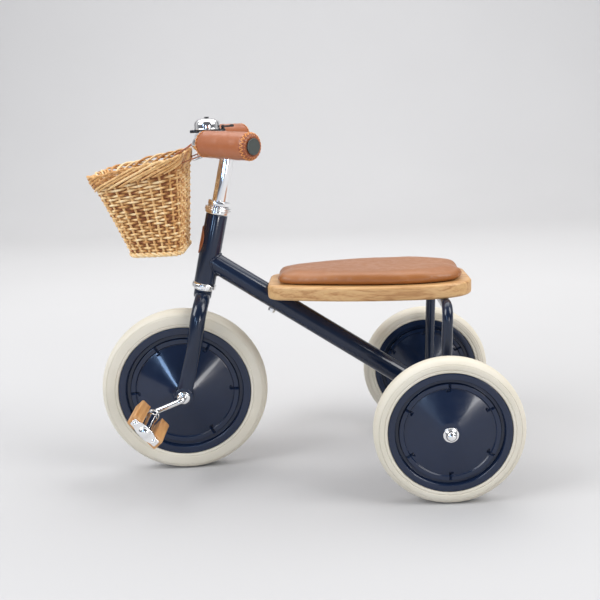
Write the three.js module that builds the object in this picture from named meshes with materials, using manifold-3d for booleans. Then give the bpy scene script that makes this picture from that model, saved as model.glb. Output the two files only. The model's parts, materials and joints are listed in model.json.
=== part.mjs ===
// A children's pedal tricycle in millimetres, +Z up, with its front towards -X and the rider's left towards -Y.
// The origin is on the ground, under the middle of the overall length.
import * as THREE from "three";
import { mergeVertices } from "three/addons/utils/BufferGeometryUtils.js";
import Module from "manifold-3d";

const wasm = await Module();
wasm.setup();

const DEGREE = Math.PI / 180;
const GAP = 0.3; // between pieces that touch

// Layout
const WHEELBASE = 453;
const REAR_AXLE_X = 239.9;
const REAR_RADIUS = 122.5;
const FRONT_RADIUS = 149.2;
const REAR_WHEEL_Y = 184; // middle plane of each rear wheel
const RAKE = 13.6 * DEGREE; // steering axis, leaning back from upright
const REST_TURN = 4.65 * DEGREE; // the front wheel stands turned a little to the left
const BAR_TWIST = 2.5 * DEGREE; // and the handlebar a little more, as it is clamped
const HUB = new THREE.Vector3(REAR_AXLE_X - WHEELBASE, 0, FRONT_RADIUS);
const REAR_AXLE = new THREE.Vector3(REAR_AXLE_X, 0, REAR_RADIUS);
const STEER_AXIS = new THREE.Vector3(Math.sin(RAKE), 0, Math.cos(RAKE));

// Wheels
// A rim's face is measured from the wheel's middle plane, and so is the widest part of its tyre.
const REAR = { radius: REAR_RADIUS, rim: 100, face: 16, tyreHalf: 17.5, outerHub: 21.5, innerHub: 20 };
const FRONT = { radius: FRONT_RADIUS, rim: 119.3, face: 18.8, tyreHalf: 21, outerHub: 38.5 };
const TREAD_HALF = 6;
const TYRE_SIDES = 32;
const DISC_SIDES = 24;
const DISC_FIT = 0.9; // how much smaller a disc is than the tyre's seat
const SHEET = 2; // wheel disc thickness
const HUB_FLAT = 17; // radius of a disc's flat middle
const REAR_ROD = 5;
const CRANK_ROD = 5;

// Frame tubes
const HEAD_TUBE = { outer: 19, inner: 16, low: 201, high: 324.5 }; // low and high are distances up the steering axis
const DOWN_TUBE = { outer: 18, inner: 16.2, meets: 243.6 };
const AXLE_TUBE = { outer: 14, halfLength: 162 };
const STAY = { outer: 9, inner: 7.5, halfSpread: 120, footX: 1.5, topX: 8, bend: 25 };
const TUBE_SIDES = 20;

// Seat
const BOARD_BOTTOM = 320;
const BOARD_THICK = 24;
const BOARD_FRONT = REAR_AXLE_X - 291.4;
const BOARD_REAR = REAR_AXLE_X + 58;
const CUSHION_THICK = 18.5;
const SEAT_BOLT_X = REAR_AXLE_X - 277.6; // where the bolt crosses the down tube's middle line

// Fork and steering column, as distances up the steering axis
const STEERER = { outer: 14.3, inner: 13, low: 178, high: 347 };
const CROWN_TOP = 188;
const CROWN = 15.8;
const BLADE = 10.5;
const BLADE_WIDTH = 1.27; // its width seen from the side, over its thickness
const DROPOUT = { y: 48, half: 5, radius: 17, hole: 9.3 };
const QUILL = { outer: 12.7, inner: 9.5, low: 262, high: 449 };
const CLAMP = { reach: 29, height: 442.4, radius: 16.5, half: 19 };

// Handlebar, from the front hub
const BAR = 11.1;
const BAR_BORE = 9.4;
const PLUG = 8.3; // radius of the part of an end plug inside the bar
const BAR_MIDDLE = new THREE.Vector3(76, 0, 437);
const BAR_SHOULDER = new THREE.Vector3(74, 28, 437.5);
const BAR_BEND = new THREE.Vector3(51.5, 128, 444.5);
const BAR_END = new THREE.Vector3(136, 226, 441);
const BAR_TRIM = 18; // how far each bend reaches along the bar
const GRIP = { radius: 21, bore: 11.6, start: 17, length: 112 };

// Bell, from the front hub
const BELL = new THREE.Vector3(68, 72, 461);
const BELL_RADIUS = 23;
const LEVER_PIVOT = new THREE.Vector3(96, 74, 461.3);

// Basket, from the front hub, square to the frame
const BASKET = {
  wall: 8,
  bottomZ: 256,
  rimBackZ: 423,
  rimFrontZ: 392.5,
  rimMiddleX: -49.5,
  rimHalfX: 78.5,
  rimHalfY: 95,
  floorMiddleX: -25,
  floorHalfX: 46,
  floorHalfY: 62,
  corner: 34,
  lean: 0.045, // how much higher the right side hangs, per millimetre across
};
const STRAP = { y: 48, half: 7, thick: 2, barRadius: 14.4, rimRadius: 12 };

// Cranks and pedals, from the front hub
const CRANK_Y = 66;
const KNEE = new THREE.Vector3(-51.5, -CRANK_Y, -19.2); // where the left crank meets its pedal spindle
const PEDAL_END = 160; // the spindle's end, measured along it from the middle plane
const PEDAL_SPLAY = 3.4 * DEGREE; // between the spindles and the axle
const PEDAL_TILT = 49.5 * DEGREE;
const BARREL = { radius: 9.5, flange: 11.5, start: 80, shoulder: 83.5 };
const BLOCK = { offset: 23.2, width: 18.5, height: 21, chamfer: 2, start: 87, end: 161.3 };
const PLATE = { start: 161.6, thick: 2.5, halfLength: 28, halfWidth: 6.5, boss: 12 };
const SCREW_OFFSET = 21;

function paint(color, roughness, metalness) {
  return new THREE.MeshStandardMaterial({ color, roughness, metalness });
}

const navy = () => paint(0x141c33, 0.25, 0.3);
const chrome = () => paint(0xd8dade, 0.12, 1);
const steel = () => paint(0x9a9ca0, 0.35, 1);
const cream = () => paint(0xd9d2bd, 0.6, 0);
const leather = () => paint(0xa8663a, 0.6, 0);
const oak = () => paint(0xcfa06b, 0.6, 0);
const beech = () => paint(0xc9905a, 0.6, 0);
const wicker = () => paint(0xc39a63, 0.75, 0);
const black = () => paint(0x1b1c1f, 0.5, 0);
const grey = () => paint(0x4a4d4b, 0.7, 0);

// Leaves only positions, merges shared corners, drops flat triangles and turns the faces outwards.
function closed(source) {
  source.deleteAttribute("normal");
  source.deleteAttribute("uv");
  const geometry = mergeVertices(source, 1e-4);
  const corners = geometry.index.array;
  const kept = [];
  for (let i = 0; i < corners.length; i += 3) {
    const [a, b, c] = corners.slice(i, i + 3);
    if (a !== b && b !== c && c !== a) kept.push(a, b, c);
  }
  const [a, b, c] = [new THREE.Vector3(), new THREE.Vector3(), new THREE.Vector3()];
  const points = geometry.attributes.position;
  let volume = 0;
  for (let i = 0; i < kept.length; i += 3) {
    a.fromBufferAttribute(points, kept[i]);
    b.fromBufferAttribute(points, kept[i + 1]);
    c.fromBufferAttribute(points, kept[i + 2]);
    volume += a.dot(b.cross(c));
  }
  geometry.setIndex(volume < 0 ? kept.reverse() : kept);
  return geometry;
}

function solid(geometry) {
  return new wasm.Manifold(
    new wasm.Mesh({
      numProp: 3,
      vertProperties: new Float32Array(geometry.attributes.position.array),
      triVerts: new Uint32Array(geometry.index.array),
    }),
  );
}

function surface(body) {
  const mesh = body.getMesh();
  const geometry = new THREE.BufferGeometry();
  geometry.setAttribute("position", new THREE.BufferAttribute(mesh.vertProperties, 3));
  geometry.setIndex(new THREE.BufferAttribute(mesh.triVerts, 1));
  return geometry;
}

// The first shapes joined, less the cuts.
function build(shapes, cuts = []) {
  let body = solid(shapes[0]);
  for (const shape of shapes.slice(1)) body = body.add(solid(shape));
  for (const shape of cuts) body = body.subtract(solid(shape));
  return surface(body);
}

// A turned piece about Y from [radius, height] pairs.
function turned(profile, sides = 20, start = 0) {
  const points = profile.map(([radius, height]) => new THREE.Vector2(radius, height));
  const onAxis = profile[0][0] === 0 && profile.at(-1)[0] === 0;
  if (!onAxis) points.push(points[0].clone());
  return closed(new THREE.LatheGeometry(points, sides, start));
}

// The same about Z.
function standing(profile, sides = 20) {
  return turned(profile, sides).rotateX(Math.PI / 2);
}

function washer(inner, outer, low, high) {
  return [
    [inner, low],
    [outer, low],
    [outer, high],
    [inner, high],
  ];
}

function rod(from, to, radius, sides = 16) {
  const along = to.clone().sub(from);
  const geometry = new THREE.CylinderGeometry(radius, radius, along.length(), sides);
  const turn = new THREE.Quaternion().setFromUnitVectors(new THREE.Vector3(0, 1, 0), along.clone().normalize());
  const middle = from.clone().add(to).multiplyScalar(0.5);
  return closed(geometry.applyQuaternion(turn).translate(middle.x, middle.y, middle.z));
}

function ringPoints(radius, sides) {
  return Array.from({ length: sides }, (_, i) => {
    const angle = (2 * Math.PI * i) / sides;
    return new THREE.Vector2(radius * Math.cos(angle), radius * Math.sin(angle));
  });
}

// A round bar or tube along a path.
function pipe(path, outer, inner, sides, steps) {
  const section = new THREE.Shape(ringPoints(outer, sides));
  if (inner) section.holes.push(new THREE.Path(ringPoints(inner, sides)));
  return closed(new THREE.ExtrudeGeometry(section, { steps, extrudePath: path }));
}

// Straight stretches with a rounded bend at each inner corner.
function bentPath(corners, trim) {
  const path = new THREE.CurvePath();
  let from = corners[0];
  for (let i = 1; i < corners.length - 1; i += 1) {
    const corner = corners[i];
    const before = corners[i - 1].clone().sub(corner).setLength(trim).add(corner);
    const after = corners[i + 1].clone().sub(corner).setLength(trim).add(corner);
    path.add(new THREE.LineCurve3(from, before));
    path.add(new THREE.QuadraticBezierCurve3(before, corner, after));
    from = after;
  }
  path.add(new THREE.LineCurve3(from, corners.at(-1)));
  return path;
}

// A flat outline in X and Y, raised along Z.
function slab(outline, low, high, bevel = 0, curveSegments = 6) {
  const depth = high - low - 2 * bevel;
  const options = { depth, bevelEnabled: bevel > 0, bevelSegments: 1, curveSegments };
  Object.assign(options, { bevelThickness: bevel, bevelSize: bevel, bevelOffset: -bevel });
  return closed(new THREE.ExtrudeGeometry(outline, options).translate(0, 0, low + bevel));
}

// The same outline with its Y standing up, raised along Y from low to high.
function wall(outline, low, high) {
  return slab(outline, low, high).rotateX(Math.PI / 2).translate(0, high + low, 0);
}

function box(low, high) {
  const size = high.clone().sub(low);
  const middle = low.clone().add(high).multiplyScalar(0.5);
  return closed(new THREE.BoxGeometry(size.x, size.y, size.z).translate(middle.x, middle.y, middle.z));
}

// Moves every corner of a shape by a rule.
function reshape(geometry, rule) {
  const points = geometry.attributes.position;
  const point = new THREE.Vector3();
  for (let i = 0; i < points.count; i += 1) {
    point.fromBufferAttribute(points, i);
    rule(point);
    points.setXYZ(i, point.x, point.y, point.z);
  }
  return geometry;
}

function add(group, name, geometry, material) {
  const mesh = new THREE.Mesh(geometry, material);
  mesh.name = name;
  group.add(mesh);
  return mesh;
}

const xyz = (x, y, z) => new THREE.Vector3(x, y, z);
const SPINDLE = xyz(Math.sin(PEDAL_SPLAY), Math.cos(PEDAL_SPLAY), 0); // both spindles run along it
const mirrored = (point) => xyz(point.x, -point.y, point.z);
const SIDES = [
  { name: "left", sign: -1 },
  { name: "right", sign: 1 },
];

// Groups: the part, the steering assembly turned on its axis, and that axis itself stood on Z.
const tricycle = new THREE.Group();
const steering = new THREE.Group();
steering.position.copy(HUB);
steering.quaternion.setFromAxisAngle(STEER_AXIS, REST_TURN);
tricycle.add(steering);
const column = new THREE.Group();
column.rotation.y = RAKE;
steering.add(column);
const stemGroup = new THREE.Group(); // the stem, turned in the fork by the bar's twist
stemGroup.rotation.z = BAR_TWIST;
column.add(stemGroup);
const bars = new THREE.Group(); // the handlebar and what is clamped to it
const barPivot = new THREE.Vector3(QUILL.high * Math.sin(RAKE), 0, 0);
bars.rotation.z = BAR_TWIST;
bars.position.copy(barPivot).sub(barPivot.clone().applyEuler(bars.rotation));
steering.add(bars);
const headset = new THREE.Group();
headset.position.copy(HUB);
headset.rotation.y = RAKE;
tricycle.add(headset);
const carrier = new THREE.Group(); // holds the basket, square to the frame
carrier.quaternion.setFromAxisAngle(STEER_AXIS, -REST_TURN);
steering.add(carrier);

// Turns a shape that stands on the steering column into the part's own frame.
const onColumn = (geometry) => geometry.rotateY(RAKE).translate(HUB.x, HUB.y, HUB.z);

const downTubeTop = HUB.clone().addScaledVector(STEER_AXIS, DOWN_TUBE.meets);
const downTubeDirection = REAR_AXLE.clone().sub(downTubeTop).normalize();
const downTubeNormal = xyz(-downTubeDirection.z, 0, downTubeDirection.x);
const boltReach = (SEAT_BOLT_X - downTubeTop.x) / downTubeDirection.x;
const boltFoot = downTubeTop.clone().addScaledVector(downTubeDirection, boltReach);

function seatBoltHole() {
  const low = boltFoot.clone().addScaledVector(downTubeNormal, -30);
  const high = boltFoot.clone().addScaledVector(downTubeNormal, 32);
  return rod(low, high, 4 + GAP);
}

function makeFrame() {
  const { outer, inner, low, high } = HEAD_TUBE;
  const headOuter = onColumn(rod(xyz(0, 0, low), xyz(0, 0, high), outer, TUBE_SIDES));
  const headInner = onColumn(rod(xyz(0, 0, low - 1), xyz(0, 0, high + 1), inner, TUBE_SIDES));
  const downOuter = rod(downTubeTop, REAR_AXLE, DOWN_TUBE.outer, TUBE_SIDES);
  const innerEnd = REAR_AXLE.clone().addScaledVector(downTubeDirection, -AXLE_TUBE.outer - 2);
  const downInner = rod(downTubeTop, innerEnd, DOWN_TUBE.inner, TUBE_SIDES);
  const across = xyz(0, AXLE_TUBE.halfLength, 0);
  const axleLow = REAR_AXLE.clone().sub(across);
  const axleHigh = REAR_AXLE.clone().add(across);
  const axleOuter = rod(axleLow, axleHigh, AXLE_TUBE.outer, TUBE_SIDES);
  const beyond = xyz(0, 5, 0);
  const axleInner = rod(axleLow.sub(beyond), axleHigh.add(beyond), REAR_ROD + GAP);
  const geometry = build([headOuter, downOuter, axleOuter], [headInner, downInner, axleInner, seatBoltHole()]);
  add(tricycle, "main_frame", geometry, navy());
}

function makeStay() {
  const footZ = REAR_RADIUS + AXLE_TUBE.outer + 2 * GAP;
  const topZ = BOARD_BOTTOM - STAY.outer - GAP;
  const leftFoot = xyz(REAR_AXLE_X + STAY.footX, -STAY.halfSpread, footZ);
  const leftTop = xyz(REAR_AXLE_X + STAY.topX, -STAY.halfSpread, topZ);
  const path = bentPath([leftFoot, leftTop, mirrored(leftTop), mirrored(leftFoot)], STAY.bend);
  add(tricycle, "rear_stay", pipe(path, STAY.outer, STAY.inner, 8, 24), navy());
}

// The seat's outline, drawn in by an inset on every side.
function seatOutline(frontInset, rearInset, sideInset) {
  const front = BOARD_FRONT + frontInset;
  const rear = BOARD_REAR - rearInset;
  const wide = 104.5 - sideInset;
  const narrow = 69 - sideInset;
  const flat = 38 - sideInset / 2;
  const outline = new THREE.Shape();
  outline.moveTo(front, -flat);
  outline.quadraticCurveTo(front, -narrow + 6, front + 27, -narrow);
  outline.bezierCurveTo(front + 90, -wide + 14, front + 160, -wide, rear - 104, -wide);
  outline.bezierCurveTo(rear - 42, -wide, rear, -wide + 20, rear, -flat);
  outline.lineTo(rear, flat);
  outline.bezierCurveTo(rear, wide - 20, rear - 42, wide, rear - 104, wide);
  outline.bezierCurveTo(front + 160, wide, front + 90, wide - 14, front + 27, narrow);
  outline.quadraticCurveTo(front, narrow - 6, front, flat);
  return outline;
}

function makeSeat() {
  const boardTop = BOARD_BOTTOM + BOARD_THICK;
  const board = slab(seatOutline(0, 0, 0), BOARD_BOTTOM, boardTop, 2.5);
  const saddle = rod(downTubeTop, REAR_AXLE, DOWN_TUBE.outer + GAP, TUBE_SIDES);
  add(tricycle, "seat_board", build([board], [saddle, seatBoltHole()]), oak());
  const cushionLow = boardTop + GAP;
  const cushion = slab(seatOutline(14, 11, 8), cushionLow, cushionLow + CUSHION_THICK, 6);
  add(tricycle, "seat_cushion", cushion, leather());
  const at = (distance) => boltFoot.clone().addScaledVector(downTubeNormal, distance);
  const under = -DOWN_TUBE.outer - GAP;
  const head = rod(at(under - 5), at(under), 6.5, 6);
  const shank = rod(at(under - 1), at(30), 4);
  add(tricycle, "seat_bolt", build([head, shank]), chrome());
}

function makeHeadset() {
  const { inner, low, high } = HEAD_TUBE;
  const spigot = inner - GAP;
  const throat = STEERER.outer + 2 * GAP;
  const lowerCup = [
    [throat, low + 8],
    [spigot, low + 8],
    [spigot, low - GAP],
    [19.5, low - GAP],
    [21.5, low - 3],
    [21.5, low - 9.5],
    [20.3, low - 9.5],
    [20.3, low - 4],
    [throat, low - 4],
  ];
  add(headset, "lower_headset_cup", standing(lowerCup), chrome());
  add(headset, "lower_headset_bearing", standing(washer(15.4, 20, low - 9, low - 4.4)), steel());
  const upperCup = [
    [throat, high - 8],
    [spigot, high - 8],
    [spigot, high + GAP],
    [19.5, high + GAP],
    [21.5, high + 2],
    [21.5, high + 6.5],
    [20.3, high + 6.5],
    [20.3, high + 3],
    [throat, high + 3],
  ];
  add(headset, "upper_headset_cup", standing(upperCup), chrome());
  add(headset, "upper_headset_bearing", standing(washer(15.4, 20, high + 3.4, high + 6.4)), steel());

  const clear = STEERER.outer + GAP;
  add(column, "crown_race", standing(washer(clear, 17.5, CROWN_TOP + GAP, CROWN_TOP + 3.5)), chrome());
  const race = [
    [clear, high + 6.8],
    [23.5, high + 6.8],
    [23.5, high + 9.4],
    [21.5, high + 10.2],
    [23, high + 11],
    [23, high + 13],
    [clear, high + 13],
  ];
  add(column, "adjusting_race", standing(race), chrome());
  add(column, "lock_washer", standing(washer(clear, 19.5, high + 13.3, high + 14.8)), chrome());
  const locknut = rod(xyz(0, 0, high + 15.1), xyz(0, 0, high + 23.6), 19, 6);
  const bore = rod(xyz(0, 0, high + 14), xyz(0, 0, high + 25), clear, TUBE_SIDES);
  add(column, "headset_locknut", build([locknut], [bore]), chrome());
}

// A leather oval that wraps the front of the head tube.
function makeBadge() {
  const { outer } = HEAD_TUBE;
  const middle = 275;
  const shell = standing(washer(outer + GAP, outer + GAP + 1.6, middle - 30, middle + 30), 32);
  const oval = new THREE.Shape().absellipse(0, middle, 15, 25, 0, 2 * Math.PI);
  const block = slab(oval, -60, 0).rotateX(Math.PI / 2).rotateZ(Math.PI / 2);
  const badge = solid(shell).intersect(solid(block));
  add(headset, "head_badge", surface(badge), leather());
}

function bladePath(sign) {
  const stations = [
    [0, 4, 178],
    [0.8, 22, 173],
    [0.2, 38, 160],
    [0.2, 45.5, 138],
    [1.8, 48, 88],
    [0, 48, 4],
  ];
  return new THREE.CatmullRomCurve3(stations.map(([x, y, z]) => xyz(x, sign * y, z)));
}

// Oval at the top, and pressed flat towards the dropout.
function makeBlade(sign) {
  const blade = pipe(bladePath(sign), BLADE, 0, 10, 14);
  return reshape(blade, (point) => {
    const flat = THREE.MathUtils.smoothstep(100 - point.z, 0, 60);
    const thickness = THREE.MathUtils.lerp(1, (DROPOUT.half - 0.2) / BLADE, flat);
    if (point.z < 100) point.y = sign * DROPOUT.y + (point.y - sign * DROPOUT.y) * thickness;
    point.x *= BLADE_WIDTH;
  });
}

function makeFork() {
  const across = (sign, y) => xyz(0, sign * y, 0);
  const { y, half, radius, hole } = DROPOUT;
  const shapes = [
    rod(xyz(0, 0, STEERER.low), xyz(0, 0, STEERER.high), STEERER.outer, TUBE_SIDES),
    rod(xyz(0, 0, 172), xyz(0, 0, CROWN_TOP), CROWN, TUBE_SIDES),
    ...SIDES.map(({ sign }) => makeBlade(sign)),
    ...SIDES.map(({ sign }) => rod(across(sign, y - half), across(sign, y + half), radius, TUBE_SIDES)),
  ];
  const cuts = [
    rod(xyz(0, 0, 150), xyz(0, 0, STEERER.high + 1), STEERER.inner, TUBE_SIDES),
    rod(xyz(0, -y - half - 1, 0), xyz(0, y + half + 1, 0), hole),
  ];
  add(column, "fork", build(shapes, cuts), navy());
  for (const { name, sign } of SIDES) {
    const inner = y - half;
    const outer = y + half + GAP;
    const bore = CRANK_ROD + GAP;
    const profile = [
      [bore, sign * (inner - 2)],
      [hole - GAP, sign * (inner - 2)],
      [hole - GAP, sign * outer],
      [10.5, sign * outer],
      [10.5, sign * (outer + 2.6)],
      [bore, sign * (outer + 2.6)],
    ];
    add(column, name + "_axle_bushing", turned(profile), chrome());
  }
}

function makeStem() {
  const { outer, inner, low, high } = QUILL;
  const { reach, height, radius, half } = CLAMP;
  const shapes = [
    rod(xyz(0, 0, low), xyz(0, 0, high), outer, TUBE_SIDES),
    box(xyz(-reach, -10, height - 9), xyz(0, 10, height + 6)),
    rod(xyz(-reach, -half, height), xyz(-reach, half, height), radius, TUBE_SIDES),
  ];
  const cuts = [
    rod(xyz(0, 0, low - 1), xyz(0, 0, high - 6), inner, TUBE_SIDES),
    rod(xyz(0, 0, low), xyz(0, 0, high + 9), 4 + GAP),
    rod(xyz(-reach, -half - 1, height), xyz(-reach, half + 1, height), BAR + 0.5, TUBE_SIDES),
  ];
  add(stemGroup, "stem", build(shapes, cuts), chrome());
  const bolt = [rod(xyz(0, 0, low - 8), xyz(0, 0, high + 2), 4), rod(xyz(0, 0, high + GAP), xyz(0, 0, high + 6), 7, 6)];
  add(stemGroup, "stem_bolt", build(bolt), chrome());
}

// Stands a shape made about Y on the outer stretch of the bar, a distance beyond the bend.
function onGripLine(geometry, distance) {
  const along = BAR_END.clone().sub(BAR_BEND).normalize();
  const turn = new THREE.Quaternion().setFromUnitVectors(xyz(0, 1, 0), along);
  const from = BAR_BEND.clone().addScaledVector(along, distance);
  return geometry.applyQuaternion(turn).translate(from.x, from.y, from.z);
}

// A left-hand copy of a shape: reflected in Y, with its faces turned outwards again.
function leftHand(geometry) {
  return closed(geometry.clone().scale(1, -1, 1));
}

function addPair(group, name, geometry, material) {
  add(group, "right_" + name, geometry, material());
  add(group, "left_" + name, leftHand(geometry), material());
}

function makeHandlebar() {
  const half = [BAR_MIDDLE, BAR_SHOULDER, BAR_BEND, BAR_END];
  const corners = [...half.slice(1).reverse().map(mirrored), ...half];
  add(bars, "handlebar", pipe(bentPath(corners, BAR_TRIM), BAR, BAR_BORE, 8, 28), chrome());

  const { radius, bore, length, start } = GRIP;
  const grip = [
    [bore, 0],
    [16, 0.5],
    [19.5, 4],
    [radius, 11],
    [radius, length - 16],
    [radius - 0.8, length - 7],
    [radius - 4, length - 1],
    [bore, length],
  ];
  addPair(bars, "grip", onGripLine(turned(grip, 18), start), leather);
  const plug = [
    [0, -12],
    [PLUG, -12],
    [PLUG, GAP],
    [12.4, GAP],
    [12.4, 2.4],
    [0, 3.6],
  ];
  const barLength = BAR_END.distanceTo(BAR_BEND);
  addPair(bars, "bar_plug", onGripLine(turned(plug, 18), barLength), grey);
}

function makeBell() {
  const onBar = BAR_SHOULDER.clone().lerp(BAR_BEND, (BELL.y - BAR_SHOULDER.y) / (BAR_BEND.y - BAR_SHOULDER.y));
  const along = BAR_BEND.clone().sub(BAR_SHOULDER).normalize();
  const band = (radius, half) => {
    const from = onBar.clone().addScaledVector(along, -half);
    const to = onBar.clone().addScaledVector(along, half);
    return rod(from, to, radius, TUBE_SIDES);
  };
  const at = (geometry) => geometry.translate(BELL.x, BELL.y, BELL.z);
  const low = BELL.z - 8;
  const top = BELL.z - 2.4;
  const ear = box(xyz(BELL.x + 15, LEVER_PIVOT.y - 5, low), xyz(LEVER_PIVOT.x + 4, LEVER_PIVOT.y + 5, top));
  const tab = box(xyz(BELL.x - 31, BELL.y - 6, low), xyz(BELL.x - 15, BELL.y + 6, top));
  const pivot = (from, to, radius) => {
    return rod(xyz(LEVER_PIVOT.x, LEVER_PIVOT.y, from), xyz(LEVER_PIVOT.x, LEVER_PIVOT.y, to), radius, 10);
  };
  const pin = pivot(low + 1, LEVER_PIVOT.z + 3.2, 1.5);
  const spacer = pivot(low + 1, LEVER_PIVOT.z - GAP, 3.2);
  const post = [
    [0, -10],
    [7, -10],
    [7, -5],
    [BELL_RADIUS, -5],
    [BELL_RADIUS, -2.4],
    [4, -2.4],
    [4, 12],
    [2.2, 12],
    [2.2, 18.3],
    [4.6, 18.3],
    [4.2, 19.8],
    [0, 19.8],
  ];
  const shapes = [band(14, 5), at(standing(post)), ear, tab, pin, spacer];
  add(bars, "bell_base", build(shapes, [band(BAR + 2 * GAP, 26)]), black());
  const dome = [
    [BELL_RADIUS, -2.1],
    [BELL_RADIUS, 7],
    [BELL_RADIUS - 1.4, 11.5],
    [BELL_RADIUS - 5.5, 15],
    [10, 17.2],
    [2.6, 18],
    [2.6, 16.6],
    [9.5, 15.8],
    [BELL_RADIUS - 6.5, 13.7],
    [BELL_RADIUS - 2.8, 10.5],
    [BELL_RADIUS - 1.3, 6.5],
    [BELL_RADIUS - 1.3, -2.1],
  ];
  add(bars, "bell_dome", at(standing(dome, 24)), chrome());

  const outline = new THREE.Shape();
  outline.moveTo(0, -3.5);
  outline.lineTo(8, -2.5);
  outline.lineTo(17, -4.5);
  outline.quadraticCurveTo(20, 0, 17, 4.5);
  outline.lineTo(8, 2.5);
  outline.lineTo(0, 3.5);
  outline.absarc(0, 0, 3.5, Math.PI / 2, 1.5 * Math.PI);
  outline.holes.push(new THREE.Path(ringPoints(1.5 + GAP, 10)));
  const lever = slab(outline, 0, 3).translate(LEVER_PIVOT.x, LEVER_PIVOT.y, LEVER_PIVOT.z);
  add(bars, "bell_lever", lever, black());
}

// A rounded box that tapers to its floor, with a rim that slopes down to the front.
function basketForm(inset, floorZ, liftZ) {
  const halfX = BASKET.rimHalfX - inset;
  const halfY = BASKET.rimHalfY - inset;
  const corner = BASKET.corner - inset;
  const outline = new THREE.Shape();
  outline.moveTo(-halfX + corner, -halfY);
  outline.absarc(halfX - corner, -halfY + corner, corner, -Math.PI / 2, 0);
  outline.absarc(halfX - corner, halfY - corner, corner, 0, Math.PI / 2);
  outline.absarc(-halfX + corner, halfY - corner, corner, Math.PI / 2, Math.PI);
  outline.absarc(-halfX + corner, -halfY + corner, corner, Math.PI, 1.5 * Math.PI);
  const options = { depth: 1, steps: 3, bevelEnabled: false, curveSegments: 4 };
  const form = closed(new THREE.ExtrudeGeometry(outline, options));
  const { lerp } = THREE.MathUtils;
  return reshape(form, (point) => {
    const up = point.z;
    const middle = lerp(BASKET.floorMiddleX, BASKET.rimMiddleX, up);
    point.x = middle + (point.x * lerp(BASKET.floorHalfX - inset, halfX, up)) / halfX;
    point.y = (point.y * lerp(BASKET.floorHalfY - inset, halfY, up)) / halfY;
    const back = (point.x - BASKET.rimMiddleX + BASKET.rimHalfX) / (2 * BASKET.rimHalfX);
    const rim = lerp(BASKET.rimFrontZ, BASKET.rimBackZ, back) + liftZ;
    point.z = lerp(floorZ, rim, up) + BASKET.lean * point.y;
  });
}

// Where the handlebar runs beside the basket, in the basket's own frame.
function barBeside(y) {
  const toBasket = carrier.quaternion.clone().invert();
  const seen = (point) => point.clone().applyEuler(bars.rotation).add(bars.position).applyQuaternion(toBasket);
  const near = seen(y < 0 ? mirrored(BAR_SHOULDER) : BAR_SHOULDER);
  const far = seen(y < 0 ? mirrored(BAR_BEND) : BAR_BEND);
  return near.lerp(far, (y - near.y) / (far.y - near.y));
}

// A leather loop that goes round the handlebar and through the basket under its rim.
function strapOutline(bar, rim, grow) {
  const angle = Math.atan2(bar.z - rim.z, bar.x - rim.x);
  const outline = new THREE.Shape();
  outline.absarc(bar.x, bar.z, STRAP.barRadius + grow, angle - Math.PI / 2, angle + Math.PI / 2);
  outline.absarc(rim.x, rim.z, STRAP.rimRadius + grow, angle + Math.PI / 2, angle + 1.5 * Math.PI);
  return outline;
}

function makeBasket() {
  const outer = basketForm(0, BASKET.bottomZ, 0);
  const inner = basketForm(BASKET.wall, BASKET.bottomZ + BASKET.wall, 0.5);
  const slots = [];
  for (const { name, sign } of SIDES) {
    const y = sign * STRAP.y;
    const bar = barBeside(y);
    const rim = xyz(BASKET.rimMiddleX + BASKET.rimHalfX - BASKET.wall / 2 - 1, y, BASKET.rimBackZ - 9);
    const outline = strapOutline(bar, rim, STRAP.thick);
    outline.holes.push(strapOutline(bar, rim, 0));
    const low = y - STRAP.half;
    const high = y + STRAP.half;
    add(carrier, name + "_strap", wall(outline, low, high), leather());
    const cutter = strapOutline(bar, rim, STRAP.thick + 0.5);
    cutter.holes.push(strapOutline(bar, rim, -0.5));
    slots.push(wall(cutter, low - 0.5, high + 0.5));
  }
  add(carrier, "basket", build([outer], [inner, ...slots]), wicker());
}

// One pressed wheel disc, its hub face a distance from the wheel's middle plane, on the side of the sign.
function makeDisc({ rim, face }, hubFace, bore, sign) {
  const ring = face - 3;
  const profile = [
    [rim - DISC_FIT, face - 2.5],
    [rim - DISC_FIT, face],
    [0.87 * rim, face],
    [0.84 * rim, ring],
    [0.74 * rim, ring],
    [HUB_FLAT, hubFace],
    [bore, hubFace],
    [bore, hubFace - SHEET],
    [HUB_FLAT - 0.6, hubFace - SHEET],
    [0.74 * rim - 0.6, ring - SHEET],
    [0.84 * rim + 1.2, ring - SHEET],
    [0.87 * rim + 1.2, face - 2.5],
  ];
  return turned(profile.map(([radius, width]) => [radius, sign * width]), DISC_SIDES);
}

// Solid rubber, with a foot that sits between the two discs' rims and a flat tread.
function makeTyre({ radius, rim, face, tyreHalf }) {
  const tread = radius / Math.cos(Math.PI / TYRE_SIDES);
  const half = [
    [0.89 * rim, face - 3],
    [rim, face - 3],
    [rim, face + 0.8],
    [rim + 6, tyreHalf],
    [tread - 5, tyreHalf - 4.5],
    [tread, TREAD_HALF],
  ];
  const other = half.map(([r, width]) => [r, -width]).reverse();
  return turned([...half, ...other], TYRE_SIDES, Math.PI / TYRE_SIDES);
}

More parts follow.
